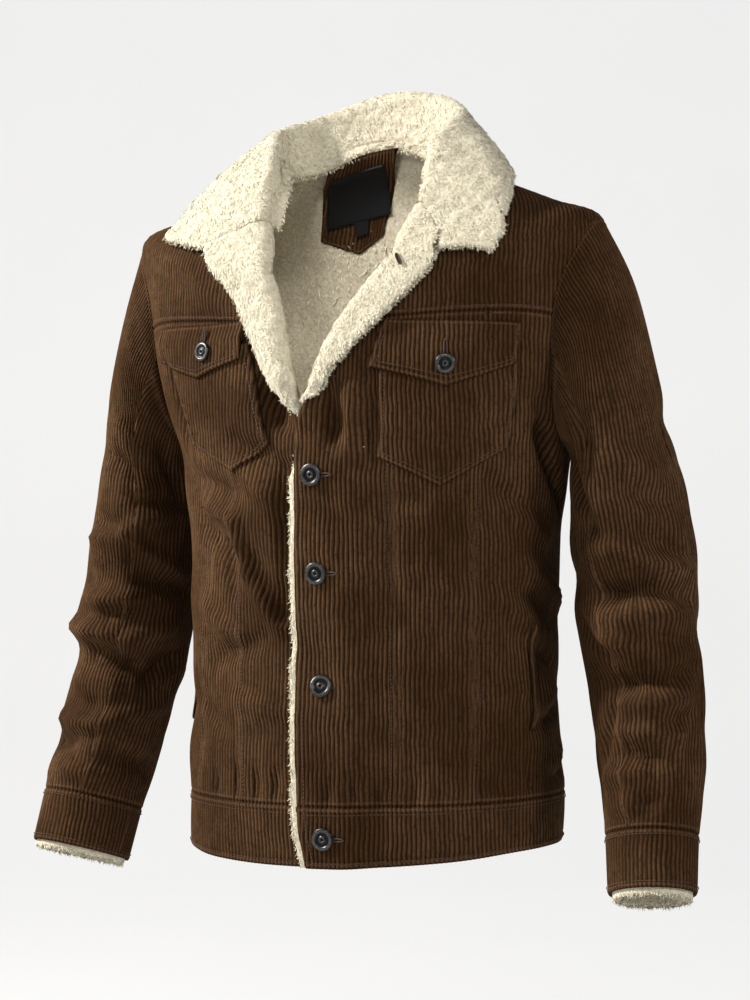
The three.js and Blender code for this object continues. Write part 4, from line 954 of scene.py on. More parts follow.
def mean_length(grid, axis):
    return float(np.linalg.norm(np.diff(grid, axis=axis), axis=-1).sum(axis=axis).mean())


def grid_area(grid):
    """The area of a grid of points, from the two diagonals of each cell."""
    across = grid[1:, 1:] - grid[:-1, :-1]
    other = grid[1:, :-1] - grid[:-1, 1:]
    return float(np.linalg.norm(np.cross(across, other), axis=-1).sum()) / 2


PILE_STEP = 2.1
RIM_COLUMNS = 3
pile_surfaces = {}


def joined(normal):
    """Normals of a tube's two ends made one."""
    normal[0] = normal[-1] = unit(normal[0] + normal[-1])
    return normal


def pile_wall(name, core, thickness, outward, rounded=(True, True), share=1.0, step=PILE_STEP, smoothing=2,
              tube_like=False):
    """A closed wall on a core grid (along, across): pile on its outer side, the cloth's back on the other.
    thickness may be a number or a row a station."""
    along_n = max(8, int(mean_length(core, 0) / step))
    across_n = max(8, int(mean_length(core, 1) / step))
    thick = np.broadcast_to(np.asarray(thickness, float), (len(core),))
    thick = np.interp(np.linspace(0, 1, along_n), np.linspace(0, 1, len(core)), thick)[:, None, None]
    core = soften(resample(resample(core, across_n, 1), along_n, 0), smoothing)
    normal = grid_normals(core)
    if np.mean(np.sum(normal * outward(core), -1)[:, -max(2, across_n // 3):]) < 0:
        normal = -normal
    if tube_like:
        normal = joined(normal)
    reach = 0.5 * thick[..., 0]
    ends, gaps = [], []
    for axis, on in ((1, rounded[1]), (0, rounded[0])):
        far = np.linalg.norm(np.diff(core, axis=axis), axis=-1)
        pad = [(0, 0), (0, 0)]
        pad[axis] = (1, 0)
        d = np.cumsum(np.pad(far, pad), axis=axis)
        total = d[:, -1:] if axis else d[-1:]
        gap = np.minimum(d, total - d)
        gaps.append(d)
        ends.append(np.sqrt(1 - (1 - np.clip(gap / (reach * 1.3), 0, 1)) ** 2) if on else np.ones_like(d))
    round_off = (ends[0] * ends[1])[..., None]
    face = core + normal * thick * (0.5 + 0.5 * round_off)
    back = core + normal * thick * (0.5 - 0.5 * round_off)
    tube = np.concatenate([face, back[:, ::-1], face[:, :1]], axis=1)
    out = np.concatenate([normal, -normal[:, ::-1], normal[:, :1]], axis=1)
    side = unit(tube - np.concatenate([core, core[:, ::-1], core[:, :1]], axis=1)
                - np.concatenate([normal, normal[:, ::-1], normal[:, :1]], axis=1) * thick * 0.5)
    blend = np.concatenate([round_off, round_off[:, ::-1], round_off[:, :1]], axis=1)
    way = unit(out * blend + side * (1 - blend))
    plain = np.zeros(tube.shape[:2])
    plain[:, across_n + 1:-2] = 1.0
    held = np.clip(blend[..., 0] * 3, 0, 1)
    points = tube + way * (curls(tube, share) * (1 - plain) * held)[..., None]
    across = np.concatenate([gaps[0], gaps[0][:, ::-1], gaps[0][:, :1]], axis=1) / WALE["pitch"]
    along = np.concatenate([gaps[1], gaps[1][:, ::-1], gaps[1][:, :1]], axis=1) / WALE["pitch"]
    second = np.zeros((tube.shape[0] - 1, tube.shape[1] - 1), bool)
    second[:, across_n + 1:-3] = True
    piece = grid_object(name, points, np.stack([along, across], -1), None, outward_flip(points, out),
                        loop=True,
                        edges=np.ones((*across.shape, 2)), second=second)
    width, length = mean_length(core, 1), mean_length(core, 0)
    area = grid_area(core)
    piece["cut"] = [width * MM, length * MM, area * MM * MM]
    pile_surfaces[name] = [np.concatenate([g[:, -1 - RIM_COLUMNS:-1], g[:, :across_n + RIM_COLUMNS]], axis=1)
                           for g in (points, way)]
    return piece


ROLL = {"radius": 3.9, "setBack": 2.2, "below": 1}
INSIDE_REACH = {"atTip": 5, "full": 12, "stations": 3}
FALL_STEPS = np.array([0.13, 0.3, 0.48, 0.66, 0.83, 1])
FALL_CLEAR = {"roll": 3, "edge": 5}
LAPELS = {
    "left": np.array([
        [4.72, -88.6, 4.8], [5.1, -84.5, 5.1], [5.7, -78.5, 5.55], [6.4, -72, 6.0], [7.2, -66.5, 6.42],
        [8.1, -62, 6.8], [8.8, -59.5, 7.15], [9.25, -57.6, 7.48]]),
    "right": np.array([
        [4.6, -87.2, 4.62], [5.1, -81.6, 5.1], [5.8, -76.2, 5.65], [6.5, -72, 6.15], [7.3, -67.5, 6.7],
        [8.2, -62.5, 7.15], [9, -57, 7.5], [9.47, -51.5, 7.88]]),
}
UNDER_COLLAR = 6.0
LAPEL_END_THIN = 0.5
LAPEL_TIP = {"share": 0.45, "stations": 2}
LAPEL_CAD_STATIONS = 10

# around, ring, rise of the stand, lean of the stand, then around and ring where the fall lands
COLLAR = np.array([
    [-42, 9.3, 1.5, 0, -57, 7.52], [-30, 9.65, 5, 0, -50.5, 7.16], [-16, 10, 14, 4, -45, 6.88],
    [-2, 10, 27, 8, -42.5, 7.38], [14, 10, 37, 11, -26, 8.15], [32, 10, 45, 13, -1, 8.75],
    [52, 10, 51, 14, 32, 8.9], [71, 10, 53, 14, 62, 8.8], [90, 10, 54, 14, 90, 8.75],
    [109, 10, 50, 14, 118, 8.8], [128, 10, 45, 14, 148, 8.85], [148, 10, 41, 14, 180, 8.7],
    [168, 10, 36, 12, 200, 8.3], [186, 10, 29, 8, 210, 7.9], [203, 10, 18, 4, 214, 7.5],
    [217, 9.85, 9, 0, 222, 7.65], [231, 9.52, 3, 0, 230, 7.9]])
STAND_DEPTH = 15
FOOT_INWARD = 3
STAND_UPRIGHT = {"from": 4, "full": 24}
STAND_MIDDLE = {"share": 0.45, "add": 0.5}
BODY_MIDDLE = {"y": 20, "chestHeight": -220}


def outward_normal(point_at, around, ring):
    du, dv = 0.6, 0.02
    a = point_at(around + du, ring) - point_at(around - du, ring)
    b = point_at(around, ring + dv) - point_at(around, ring - dv)
    normal = unit(np.cross(a, b))
    p = point_at(around, ring)
    away = np.stack([p[..., 0], p[..., 1] - BODY_MIDDLE["y"],
                     np.maximum(0, p[..., 2] - BODY_MIDDLE["chestHeight"])], -1)
    return np.where(np.sum(normal * away, -1)[..., None] < 0, -normal, normal)


def roll_frame(point_at, at, land, ahead, behind):
    point = point_at(*at)
    along = unit(point_at(*ahead) - point_at(*behind))
    normal = outward_normal(point_at, *at)
    out = unit(np.cross(along, normal))
    toward = np.sum(out * (point_at(*land) - point), -1)[..., None]
    return point, normal, np.where(toward < 0, -out, out)


def roll_arc(point, up, back, lift, start, steps):
    centre = point + up * (lift - ROLL["below"])[..., None] + back * ROLL["setBack"]
    return [centre - back * (ROLL["radius"] * math.cos(a)) + up * (ROLL["radius"] * math.sin(a))
            for a in (mix(start, 90, k / steps) * DEG for k in range(steps + 1))]


def fall_points(point_at, at, land, lifts=None):
    points = []
    for share in FALL_STEPS:
        around, ring = mix(at[0], land[0], share), mix(at[1], land[1], share)
        p = point_at(around, ring) + outward_normal(point_at, around, ring) * mix(
            FALL_CLEAR["roll"], FALL_CLEAR["edge"], share)
        if lifts is not None:
            p = p + lifts * (1 - share)
        points.append(p)
    return points


def lapel_core(which, count=70):
    point_at = lambda around, ring: front_point(which, around, ring)
    edge = lambda ring: (curve_at(FRONT[which]["edge"], ring), ring)
    place = np.linspace(0, 1, count)
    row = ring_at(LAPELS[which], place * (len(LAPELS[which]) - 1))
    at, land = edge(row[:, 0]), (row[:, 1], row[:, 2])
    point, normal, out = roll_frame(point_at, at, land, edge(row[:, 0] + 0.05), edge(row[:, 0] - 0.05))
    arc = roll_arc(point, normal, out, np.zeros(count), -90, 4)
    station = place * LAPEL_CAD_STATIONS
    reach = mix(INSIDE_REACH["atTip"], INSIDE_REACH["full"], smooth(0, INSIDE_REACH["stations"], station))
    inside = arc[0] + out * reach[:, None]
    core = np.stack([inside, *arc, *fall_points(point_at, at, land)], 1)
    thick = COLLAR_PILE * mix(LAPEL_TIP["share"], 1, smooth(0, LAPEL_TIP["stations"], station))
    return extended(core, UNDER_COLLAR), np.append(thick, thick[-1] * LAPEL_END_THIN)


def extended(core, reach):
    """A core carried on past its last station."""
    return np.concatenate([core, core[-1:] + unit(core[-1:] - core[-3:-2]) * reach])


def collar_core(count=220):
    last = len(COLLAR) - 1
    point_at = lambda around, ring: body_point(around, ring)

    def neck(place):
        row = ring_at(COLLAR, np.clip(place, 0, last))
        ring = np.minimum(row[:, 1], NECK)
        left, right = curve_at(FRONT["left"]["edge"], ring), 180 - curve_at(FRONT["right"]["edge"], ring)
        around = np.where(ring >= NECK, row[:, 0], np.where(row[:, 0] < 90, left, right))
        return (around, ring), row

    place = np.linspace(0, last, count)
    at, row = neck(place)
    land = (row[:, 4], row[:, 5])
    point, normal, out = roll_frame(point_at, at, land, neck(place + 0.1)[0], neck(place - 0.1)[0])
    level = unit(out * np.array([1, 1, 0]))
    lean = row[:, 3:4] * DEG
    stand = np.array([0, 0, 1]) * np.cos(lean) + level * np.sin(lean)
    upright = smooth(STAND_UPRIGHT["from"], STAND_UPRIGHT["full"], row[:, 2])[:, None]
    up, back = unit(mix(normal, stand, upright)), unit(mix(out, level, upright))
    rise = row[:, 2]
    arc = roll_arc(point, up, back, rise, 0, 2)
    inset = ROLL["setBack"] - ROLL["radius"]
    foot = point + out * inset - normal * STAND_DEPTH - out * FOOT_INWARD
    seam = point + out * inset
    mid = point + back * inset + up * (rise * STAND_MIDDLE["share"] + STAND_MIDDLE["add"])[:, None]
    fall = fall_points(point_at, at, land, up * rise[:, None])
    return np.stack([foot, seam, mid, *arc, *fall], 1)


pile_pieces = []


def add_pile(piece, *args, **kwargs):
    declare(piece, *args, **kwargs)
    pile_pieces.append(piece)
    return piece


for which in ("left", "right"):
    core, thick = lapel_core(which)
    add_pile(pile_wall(f"lapel_{which}_pile", core, thick, lambda p: np.array([0, -1.0, 0])), "folded",
             [f"front_centre_{which}"], [f"lapel_{which}"], slot="cream_pile")
add_pile(pile_wall("collar_pile", collar_core(), COLLAR_PILE - COLLAR_THINNER,
                   lambda p: np.array([0, 0.5, 1.0])), "folded", ["back_yoke"],
         ["collar"], slot="cream_pile")

PILE_CLEAR = 1.9
FACING = {"past": 8.5, "columns": 2, "topRow": 12.2, "showsFrom": 12.0, "showsFull": 11.2}
CENTRE_COLUMNS = 4


def facing_core(count=120):
    rows = np.linspace(0, FACING["topRow"], count)
    edge, seam = front_edge("left", rows), front_seam("left", "innerSeam", rows)
    lines = []
    for k in range(FACING["columns"] * 2 + 1):
        around = mix(edge, seam, k / 2 / CENTRE_COLUMNS)
        ring = front_ring("left", around, rows)
        lines.append(front_point("left", around, ring, -LINING_DEPTH - PILE_CLEAR))
    way = unit(lines[0] - lines[1])
    past = FACING["past"] * (1 - smooth(FACING["showsFull"], FACING["showsFrom"], rows))
    return np.stack([lines[0] + way * past[:, None], *lines], 1)


add_pile(pile_wall("front_facing_pile", facing_core(), LINING_PILE, lambda p: np.array([0, 1.0, 0]),
                   step=1.9, share=0.8),
         "hung", ["front_centre_left"], ["front_facing_left"], slot="cream_pile")

CUFF_LINING_PAST = 6.0
CUFF_LINING_FROM = 0.2


def cuff_core(side, count=150):
    turn = np.linspace(-180, 180, count)
    lines = [sleeve_point(turn, np.full(count, s), side, -LINING_DEPTH - PILE_CLEAR)
             for s in np.linspace(CUFF_SEAM + CUFF_LINING_FROM, CUFF_END, 5)]
    way = unit(lines[-1] - lines[-2])
    return np.stack([*lines, lines[-1] + way * CUFF_LINING_PAST], 1)


for which, side in (("left", 1), ("right", -1)):
    add_pile(pile_wall(f"cuff_lining_{which}_pile", cuff_core(side), CUFF_PILE,
                       lambda p: p.mean(axis=(0, 1)) - p, rounded=(False, True), share=0.7, step=1.9,
                       tube_like=True), "hung", [f"cuff_{which}"],
             [f"cuff_lining_{which}"], slot="cream_pile")

LINING_BACK = {"hang": 20, "hangFrom": 5, "hangMost": 7.4}
INSIDE = -LINING_DEPTH - LINING_PILE


ARMHOLE_CLEAR = 6.0


NECK_RISE = {"from": 9.4, "up": 13.0, "forward": 2.0}


def near_armhole(row):
    return smooth(ARMPIT_ROW - 1, ARMPIT_ROW, row) * (1 - smooth(SHOULDER_ROW, SHOULDER_ROW + 1, row))


def lining_hang(around, ring):
    rise = smooth(LINING_BACK["hangFrom"], LINING_BACK["hangMost"], ring)
    fade = 1 - smooth(LINING_BACK["hangMost"], NECK, ring)
    return LINING_BACK["hang"] * rise * fade * np.sin(around * DEG) ** 3


def back_inside(around, ring, lift):
    point = body_point(around, ring, False, INSIDE - lift)
    rise = smooth(NECK_RISE["from"], NECK, ring)
    point[..., 1] -= lining_hang(around, ring) + NECK_RISE["forward"] * rise * np.sin(around * DEG)
    point[..., 2] += NECK_RISE["up"] * rise
    return point


# The lining's cut sides are its mean lines times this, so that they hold its widest place with room.
# They are not a measured cut.
LINING_CUT_OVER_MEAN = 1.25


def lining_sheet(name, point_at, bounds, row0, row1, columns, rows, share=0.55):
    """Pile seen from inside only: one layer, with its face towards the wearer."""
    v = np.linspace(row0, row1, rows)[:, None] + np.zeros(columns)
    low, high = bounds(v[:, 0])
    q = mix(low[:, None], high[:, None], np.linspace(0, 1, columns)[None, :])
    flat = point_at(q, v, 0.0)
    inner = unit(point_at(q, v, 5.0) - flat)
    points = flat + inner * curls(flat, share)[..., None]
    piece = grid_object(name, points, None, None, outward_flip(points, inner))
    area = grid_area(flat)
    piece["cut"] = [mean_length(flat, 1) * MM * LINING_CUT_OVER_MEAN,
                    mean_length(flat, 0) * MM * LINING_CUT_OVER_MEAN, area * MM * MM]
    pile_surfaces[name] = (points, inner)
    return piece


back_lining = lining_sheet(
    "lining_back_pile", lambda q, v, lift: back_inside(q, side_ring(v), lift),
    lambda v: (side_around(v, True) + ARMHOLE_CLEAR * near_armhole(v),
               180 - side_around(v, True) - ARMHOLE_CLEAR * near_armhole(v)), 0.25, NECK_ROW, 140, 150)
add_pile(back_lining, "hung", ["back_yoke"], ["lining_back"], slot="lining_pile")
for which in ("left", "right"):
    piece = lining_sheet(
        f"lining_front_{which}_pile",
        lambda q, v, lift, w=which: front_point(w, q, front_ring(w, q, v), INSIDE - lift),
        lambda v, w=which: (front_edge(w, v) + 2.5, side_around(v, False) - ARMHOLE_CLEAR * near_armhole(v)),
        0.25, NECK_ROW - 0.3, 60, 120)
    add_pile(piece, "hung", [f"front_yoke_{which}"], slot="lining_pile")

# Inside the neck: hanger patch, plain label and plain tab, by their corners in the photograph:
# top left, top right, bottom right, bottom left, and how far the middle of the foot hangs below
NECK_PATCH = {"corners": [[326, 153], [403, 141], [383, 236], [320.5, 243]], "tipAt": 0.62, "tip": 17.0}
NECK_LABEL = {"corners": [[328.5, 171], [388, 157.5], [391, 214], [327.5, 230.5]], "tipAt": 0.5, "tip": 0.0}
SIZE_TAB = {"corners": [[355, 223], [368.5, 219.5], [368.5, 233.5], [356, 237.5]], "tipAt": 0.5, "tip": 0.0}
PATCH_TOP = {"lift": 15.0, "ends": 0.6, "labelFrom": 0.14, "labelSpan": 0.62}
LABEL_WALL = 1.0
PATCH_BASE = ON_PANEL + POCKET_WALL
LATTICE = 15


def find_on(surface, around, ring, px, py, times=12):
    """The around and ring whose point on the surface falls on the given places of the photograph."""
    for _ in range(times):
        x0, y0 = in_photo(surface(around, ring))
        xa, ya = in_photo(surface(around + 0.2, ring))
        xr, yr = in_photo(surface(around, ring + 0.01))
        xa, ya, xr, yr = (xa - x0) / 0.2, (ya - y0) / 0.2, (xr - x0) / 0.01, (yr - y0) / 0.01
        det = xa * yr - xr * ya
        dx, dy = px - x0, py - y0
        around = around + np.clip((dx * yr - dy * xr) / det, -6, 6)
        ring = np.clip(ring + np.clip((xa * dy - ya * dx) / det, -0.3, 0.3), 6.0, NECK - 0.02)
    return around, ring


def patch_lattice(patch, lift):
    """Around and ring over the patch, for shares across and down."""
    across, down = np.meshgrid(np.linspace(0, 1, LATTICE), np.linspace(0, 1, LATTICE))
    (ax, ay), (bx, by), (cx, cy), (dx, dy) = patch["corners"]
    half = np.where(across < patch["tipAt"], patch["tipAt"], 1 - patch["tipAt"])
    tip = 1 - np.abs(across - patch["tipAt"]) / half
    px = mix(mix(ax, bx, across), mix(dx, cx, across), down)
    py = mix(mix(ay, by, across), mix(dy, cy, across), down) + patch["tip"] * tip * down
    return find_on(lambda a, r: back_inside(a, r, lift), 0 * px + 105.0, 0 * px + 8.6, px, py)


def between(lattice, across, down):
    x = np.clip(across, 0, 1) * (LATTICE - 1)
    y = np.clip(down, 0, 1) * (LATTICE - 1)
    i, j = np.minimum(y.astype(int), LATTICE - 2), np.minimum(x.astype(int), LATTICE - 2)
    u, w = y - i, x - j
    return [mix(mix(g[i, j], g[i, j + 1], w), mix(g[i + 1, j], g[i + 1, j + 1], w), u) for g in lattice]


def over_collar(down):
    """The patch's top lies on the foot of the collar's pile."""
    return PATCH_TOP["lift"] * (1 - smooth(0, PATCH_TOP["ends"], down))


def neck_patch():
    lattice = patch_lattice(NECK_PATCH, PATCH_BASE)

    def skin(q, v, out):
        around, ring = between(lattice, q, v)
        return back_inside(around, ring, out)

    form = lambda q, v: skin(q, v, 0.0)
    raised = lambda q, v: PATCH_BASE + over_collar(v) + 0 * q
    rows, along = rows_along(lambda v: form(np.full_like(v, NECK_PATCH["tipAt"]), v), 0, 1, 4.5)
    return waled_sheet("neck_patch_cloth", form, skin, lambda v: [0.0, 1.0], rows, along, (0.0, 1.0),
                       lambda q, line, s: np.interp(0.5, q, s), stitched=("low", "high", "end"),
                       lift=raised, depth=CORDUROY, side_share=1.0)


def plain_patch(name, patch, lift, raise_top, count=26):
    lattice = patch_lattice(patch, lift)
    q, v = np.meshgrid(np.linspace(0, 1, count), np.linspace(0, 1, count))
    around, ring = between(lattice, q, v)
    lift = lift + over_collar(PATCH_TOP["labelFrom"] + PATCH_TOP["labelSpan"] * v) * raise_top
    flat = back_inside(around, ring, lift + LABEL_WALL)
    above = back_inside(around, ring, lift + LABEL_WALL + 5.0)
    piece = grid_object(name, flat, np.stack([q, v], -1), None, outward_flip(flat, above - flat),
                        depth=LABEL_WALL)
    width, length = mean_length(flat, 1), mean_length(flat, 0)
    piece["cut"] = [width * MM * 1.08, length * MM * 1.08, width * length * MM * MM]
    return piece


add(neck_patch(), "laid", ["lining_back"], ["neck_patch"])
on_patch = ON_PANEL + POCKET_WALL + ON_PANEL
label_pieces = []
for name, node, patch, lift, raise_top in (("neck_label_cloth", "neck_label", NECK_LABEL, on_patch, 1.0),
                                           ("size_tab_cloth", "size_tab", SIZE_TAB,
                                             on_patch + LABEL_WALL, 0.0)):
    piece = plain_patch(name, patch, lift, raise_top)
    declare(piece, "laid", ["neck_patch"], [node], slot="satin_tape")
    label_pieces.append(piece)

# Shank buttons: a dished disc with raised rings and a hole in the middle
BUTTON_PROFILE = np.array([
    [0, 1.0], [0.09, 1.0], [0.12, 1.3], [0.13, 2.5], [0.17, 2.9], [0.24, 2.95], [0.3, 2.7],
    [0.33, 2.2], [0.38, 1.95],
    [0.5, 1.9], [0.6, 2.0], [0.64, 2.3], [0.68, 2.8], [0.74, 3.05], [0.84, 3.0], [0.9, 2.75], [0.96, 2.5],
    [1.0, 2.0], [1.0, 1.3], [0.94, 0.8], [0.7, 0.3], [0.62, 0.1], [0, 0.1]])
FRONT_BUTTONS = [[-88.6, 3.94], [-87.6, 3.0], [-87, 2.1], [-86.2, 0.54]]
BUTTON = {"frontRadius": 11.0, "flapRadius": 9.6, "seat": 0.45, "sides": 56}


def surface_frame(which, around, ring):
    p = front_point(which, around, ring)
    normal = unit(outward_normal(lambda a, r: front_point(which, a, r), np.array(around, float),
                                 np.array(ring, float)))
    up = unit(np.array([0, 0, 1.0]) - normal * normal[2])
    return p, normal, up, np.cross(up, normal)


def add_button(name, node, which, around, ring, radius, height):
    p, normal, up, across = surface_frame(which, around, ring)
    angle = np.linspace(0, 2 * np.pi, BUTTON["sides"] + 1)
    r, z = BUTTON_PROFILE[:, :1] * radius, BUTTON_PROFILE[:, 1:2] + height
    points = (p + across * (r * np.cos(angle))[..., None] + up * (r * np.sin(angle))[..., None]
              + normal * (z + 0 * angle)[..., None])
    facing = np.broadcast_to(normal, points.shape)
    uv = np.stack(np.broadcast_arrays(BUTTON_PROFILE[:, :1], BUTTON_PROFILE[:, 1:2] + 0 * angle), -1)
    piece = grid_object(name, points, uv, None, outward_flip(points[:16], facing[:16]), loop=True)
    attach(piece, "root")
    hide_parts(node)
    return piece


button_pieces = [
    add_button(f"front_button_{k + 1}_metal", f"front_button_{k + 1}", "left", a, r, BUTTON["frontRadius"],
               BUTTON["seat"])
    for k, (a, r) in enumerate(FRONT_BUTTONS)]
for which in ("left", "right"):
    a, r = CHEST[which]["button"]
    button_pieces.append(add_button(f"flap_button_{which}_metal", f"flap_button_{which}", which, a, r,
                                    BUTTON["flapRadius"],
                                    FLAP["clearOfPocket"] + FLAP["wall"] + BUTTON["seat"]))

# Topstitching: short raised dashes of thread along lines on the cloth
STITCH = {"length": 2.7, "pitch": 3.9, "half": 0.42, "rise": 0.75, "sink": 0.2}
thread_pieces = []


def dashes(name, points, normals):
    step = np.concatenate([[0], np.cumsum(np.linalg.norm(np.diff(points, axis=0), axis=1))])
    starts = np.arange(0, step[-1] - STITCH["length"], STITCH["pitch"])
    count = len(starts)
    grid = np.empty((count * 3, 2, 3))
    at = lambda places, values: np.stack([np.interp(places, step, values[:, c]) for c in range(3)], -1)
    first, last = at(starts, points), at(starts + STITCH["length"], points)
    normal = unit(at(starts + STITCH["length"] / 2, normals))
    half = np.cross(unit(last - first), normal) * STITCH["half"]
    section = ((0.0, -STITCH["sink"]), (0.5, STITCH["rise"]), (1.0, -STITCH["sink"]))
    for k, (share, lift) in enumerate(section):
        middle = mix(first, last, share) + normal * lift
        grid[k::3, 0], grid[k::3, 1] = middle - half, middle + half
    stay = np.ones((count * 3 - 1, 1), bool)
    stay[2::3] = False
    facing = np.cross(grid[1::3, 1] - grid[0::3, 0], grid[1::3, 0] - grid[0::3, 1])
    piece = grid_object(name, grid, None, stay, bool(np.sum(facing * normal) < 0))
    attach(piece, "root")
    thread_pieces.append(piece)


def front_dashes(name, which, around, row, lift=0.3):
    ring = front_ring(which, around, row)
    points = front_point(which, around, ring, lift)
    dashes(name, points, front_point(which, around, ring, lift + 3.0) - points)


WAIST_STITCH = {"belowSeam": 0.2, "aboveHem": 0.2}
for which in ("left", "right"):
    for title, row in (("top", WAIST_ROW - WAIST_STITCH["belowSeam"]), ("hem", WAIST_STITCH["aboveHem"])):
        low, high = float(front_edge(which, row)) + 2.0, float(side_around(row, False)) - 1.0
        front_dashes(f"waistband_{title}_stitch_{which}", which, np.linspace(low, high, 200),
                     np.full(200, row))
    row = YOKE_ROW + 0.17
    low, high = float(front_edge(which, row)) + 2.0, float(side_around(row, False)) - 1.5
    front_dashes(f"yoke_stitch_{which}", which, np.linspace(low, high, 160), np.full(160, row))
    row = np.linspace(WAIST_ROW + 0.1, YOKE_ROW - 0.1, 200)
    front_dashes(f"inner_seam_stitch_{which}", which, front_seam(which, "innerSeam", row) - 2.0, row)
    front_dashes(f"outer_seam_stitch_{which}", which, front_seam(which, "outerSeam", row) + 2.0, row)
row = np.linspace(0.2, ARMPIT_ROW - 0.6, 200)
front_dashes("front_edge_stitch", "left", front_edge("left", row) + 2.2, row)

around = np.linspace(10, 170, 300)
for title, ring in (("top", 0.9), ("hem", 0.1)):
    points = body_point(around, np.full(300, ring), False, 0.3)
    above = body_point(around, np.full(300, ring), False, 3.3)
    dashes(f"waistband_{title}_stitch_back", points, above - points)
for which, side in (("left", 1), ("right", -1)):
    turn = np.linspace(-178, 178, 260)
    for title, station in (("top", CUFF_SEAM + 0.11), ("hem", CUFF_END - 0.11)):
        points = sleeve_point(turn, np.full(260, station), side, 0.3)
        above = sleeve_point(turn, np.full(260, station), side, 3.3)
        dashes(f"cuff_{title}_stitch_{which}", points, above - points)


def patch_dashes(name, which, patch, lift, inset, foot, top):
    """Down one side, round the pointed foot and up the other side."""
    low, high = 0.0 + inset, 1.0 - inset
    tip = patch["tipAt"]
    shares = np.concatenate([np.full(60, low), np.linspace(low, tip, 50), np.linspace(tip, high, 50),
                             np.full(60, high)])
    down = np.concatenate([np.linspace(top, foot, 60), np.full(100, foot), np.linspace(foot, top, 60)])
    a, b = patch_bounds(patch, down)
    q = mix(a, b, shares)
    ring = patch_ring(patch, q, down)
    points = front_point(which, q, ring, lift(down) + 0.3)
    dashes(name, points, front_point(which, q, ring, lift(down) + 3.3) - points)


for which in ("left", "right"):
    chest = CHEST[which]
    pocket_lift = lambda v: ON_PANEL + POCKET_WALL + 1.6 * np.sin(np.pi * v)
    patch_dashes(f"pocket_flap_{which}_stitch", which, chest["flap"], flap_lift, 0.045, 0.88, 0.03)
    patch_dashes(f"chest_pocket_{which}_stitch", which, chest["pocket"], pocket_lift, 0.045, 0.955, 0.2)

# Buttonholes: a ridge of thread round a slit, whose dark sheet is painted shadow
HOLE = {"half": 1.5, "ridge": 0.75, "height": 0.85, "slit": 0.75, "sides": 40}
slit_pieces = []


def buttonhole(name, point, normal, along, length):
    """An oval ridge of thread and the slit in it, along a direction on the cloth."""
    normal = unit(normal)
    along = unit(along - normal * np.sum(along * normal))
    across = np.cross(normal, along)
    angle = np.linspace(0, 2 * np.pi, HOLE["sides"] + 1)[:, None]
    ring = np.linspace(np.pi, 0, 6)[None, :]
    c, s_ = np.sign(np.cos(angle)) * np.abs(np.cos(angle)) ** 0.6, np.sin(angle)
    wide = HOLE["half"] + HOLE["ridge"] * np.cos(ring)
    long = length / 2 + HOLE["ridge"] * np.cos(ring)
    points = (point + along * (c * long)[..., None] + across * (s_ * wide)[..., None]
              + normal * (HOLE["height"] * np.sin(ring) + 0 * angle)[..., None])
    facing = np.broadcast_to(normal, points.shape)
    piece = grid_object(name, points, None, None, outward_flip(points, facing), loop=True)
    # The slit: a flat dark sheet, painted shadow.
    u, w = np.meshgrid(np.linspace(-1, 1, 9), np.linspace(-1, 1, 3))
    flat = (point + along * (u * length * 0.46)[..., None] + across * (w * HOLE["slit"])[..., None]
            + normal * (0.12 + 0 * u)[..., None])
    facing = np.broadcast_to(normal, flat.shape)
    slit = grid_object(f"{name}_slit", flat, None, None, outward_flip(flat, facing))
    for made in (piece, slit):
        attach(made, "root")
    thread_pieces.append(piece)
    slit_pieces.append(slit)


def nearest_on(name, px, py):
    """Point and normal of a pile surface at a place of the photograph, on the side towards the camera."""
    points, normals = pile_surfaces[name]
    x, y = in_photo(points)
    toward = np.array([math.sin(CAMERA["turn"] * DEG), -math.cos(CAMERA["turn"] * DEG), 0])
    hidden = np.where(np.sum(normals * toward, -1) < 0.1, 1e6, 0.0)
    best = np.argmin((x - px) ** 2 + (y - py) ** 2 + hidden)
    return points.reshape(-1, 3)[best], normals.reshape(-1, 3)[best]


FRONT_HOLES = {"beside": 9.0, "length": 24.0}
for k, (around, ring) in enumerate(FRONT_BUTTONS):
    point, normal, up, across = surface_frame("left", around, ring)
    beside = point + across * FRONT_HOLES["beside"] + normal * 0.4
    buttonhole(f"front_buttonhole_{k + 1}", beside, normal, across, FRONT_HOLES["length"])
for which in ("left", "right"):
    around, ring = CHEST[which]["button"]
    point, normal, up, across = surface_frame(which, around, ring)
    lift = FLAP["clearOfPocket"] + FLAP["wall"]
    buttonhole(f"flap_buttonhole_{which}", point + up * 13.0 + normal * (lift + 0.2), normal, up, 19.0)
LAPEL_SLIT = {"at": [398.8, 261.0], "along": [0.47, 0.0, -0.88], "length": 13.0}
TOP_HOLE = {"at": [326.0, 376.5], "slope": 0.05, "length": 19.0}
TOP_HOLE_GRID = np.meshgrid(np.linspace(-90, -70, 160), np.linspace(4.6, 6.0, 160))
point, normal = nearest_on("lapel_left_pile", *LAPEL_SLIT["at"])
buttonhole("lapel_buttonhole", point + normal * 2.2, normal, np.array(LAPEL_SLIT["along"]),
           LAPEL_SLIT["length"])

points = front_point("left", *TOP_HOLE_GRID)
x, y = in_photo(points)
best = np.unravel_index(np.argmin((x - TOP_HOLE["at"][0]) ** 2 + (y - TOP_HOLE["at"][1]) ** 2), x.shape)
point, normal, up, across = surface_frame("left", *(float(grid[best]) for grid in TOP_HOLE_GRID))
buttonhole("top_buttonhole", point + normal * 0.4, normal, across + up * TOP_HOLE["slope"],
           TOP_HOLE["length"])

# Materials


